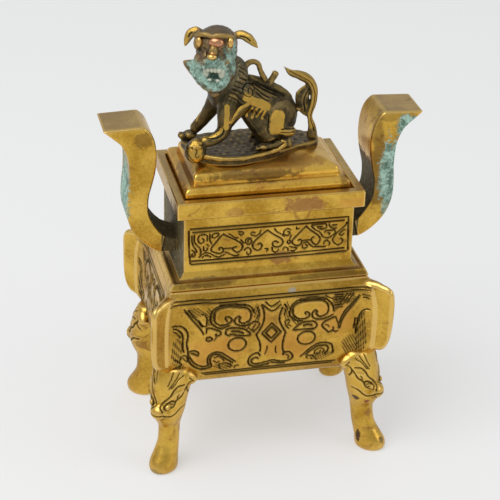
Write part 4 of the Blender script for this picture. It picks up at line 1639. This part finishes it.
camera = {"azimuth": -13.57, "elevation": 28.01, "distance": 1.0239, "lens": 112.79, "roll": 1.72,
          "right": -0.00327, "up": 0.10833, "sensor": 36, "clip": (0.05, 50)}
# each box has its name, place, aim, size and power
studio = {"world": (0.96, 0.98, 1.0), "worldStrength": 0.6, "floor": (0.42, 0.42, 0.418),
          "floorGlow": 1.0, "floorRoughness": 0.9, "floorSize": 12,
          "boxes": [("topLeftBox", (-1.0, -0.5, 1.7), (0, 0, 0.1), (1.5, 1.5), 22),
                    ("rightBox", (1.5, -0.9, 1.0), (0, 0, 0.12), (1.0, 1.0), 5)]}


def makeCamera():
    around, high = radians(camera["azimuth"]), radians(camera["elevation"])
    back = Vector((sin(around) * cos(high), -cos(around) * cos(high), sin(high)))
    right = Vector((cos(around), sin(around), 0))
    up = back.cross(right)
    place = back * camera["distance"] + right * camera["right"] + up * camera["up"]
    roll = radians(camera["roll"])
    turnedRight = right * cos(roll) + up * sin(roll)
    turnedUp = up * cos(roll) - right * sin(roll)
    deselectAll()
    bpy.ops.object.camera_add(location=place)
    made = bpy.context.active_object
    made.data.sensor_width, made.data.lens = camera["sensor"], camera["lens"]
    made.rotation_mode = "QUATERNION"
    made.rotation_quaternion = Matrix((turnedRight, turnedUp, back)).transposed().to_quaternion()
    made.data.clip_start, made.data.clip_end = camera["clip"]
    bpy.context.scene.camera = made


def addSoftbox(name, place, aim, size, power):
    bpy.ops.object.light_add(type="AREA", location=place)
    lamp = bpy.context.active_object
    lamp.name = name
    lamp.data.shape, lamp.data.size, lamp.data.size_y = "RECTANGLE", *size
    lamp.data.energy = power
    lamp.rotation_euler = (Vector(aim) - Vector(place)).to_track_quat("-Z", "Y").to_euler()


def makeStage():
    deselectAll()
    bpy.ops.mesh.primitive_plane_add(size=studio["floorSize"], location=(0, 0, 0))
    floor = newest("floor")
    paper = bpy.data.materials.new("paper")
    paper.use_nodes = True
    shader = paper.node_tree.nodes["Principled BSDF"]
    shader.inputs["Base Color"].default_value = (*studio["floor"], 1)
    shader.inputs["Roughness"].default_value = studio["floorRoughness"]
    shader.inputs["Emission Color"].default_value = (*studio["floor"], 1)
    shader.inputs["Emission Strength"].default_value = studio["floorGlow"]
    floor.data.materials.append(paper)
    world = bpy.data.worlds.new("studio")
    bpy.context.scene.world = world
    world.use_nodes = True
    background = world.node_tree.nodes["Background"]
    background.inputs["Color"].default_value = (*studio["world"], 1)
    background.inputs["Strength"].default_value = studio["worldStrength"]
    for box in studio["boxes"]:
        addSoftbox(*box)
    bpy.context.scene.view_settings.view_transform = "Standard"
    print("camera, lights and floor are ready")


makeCamera()
makeStage()
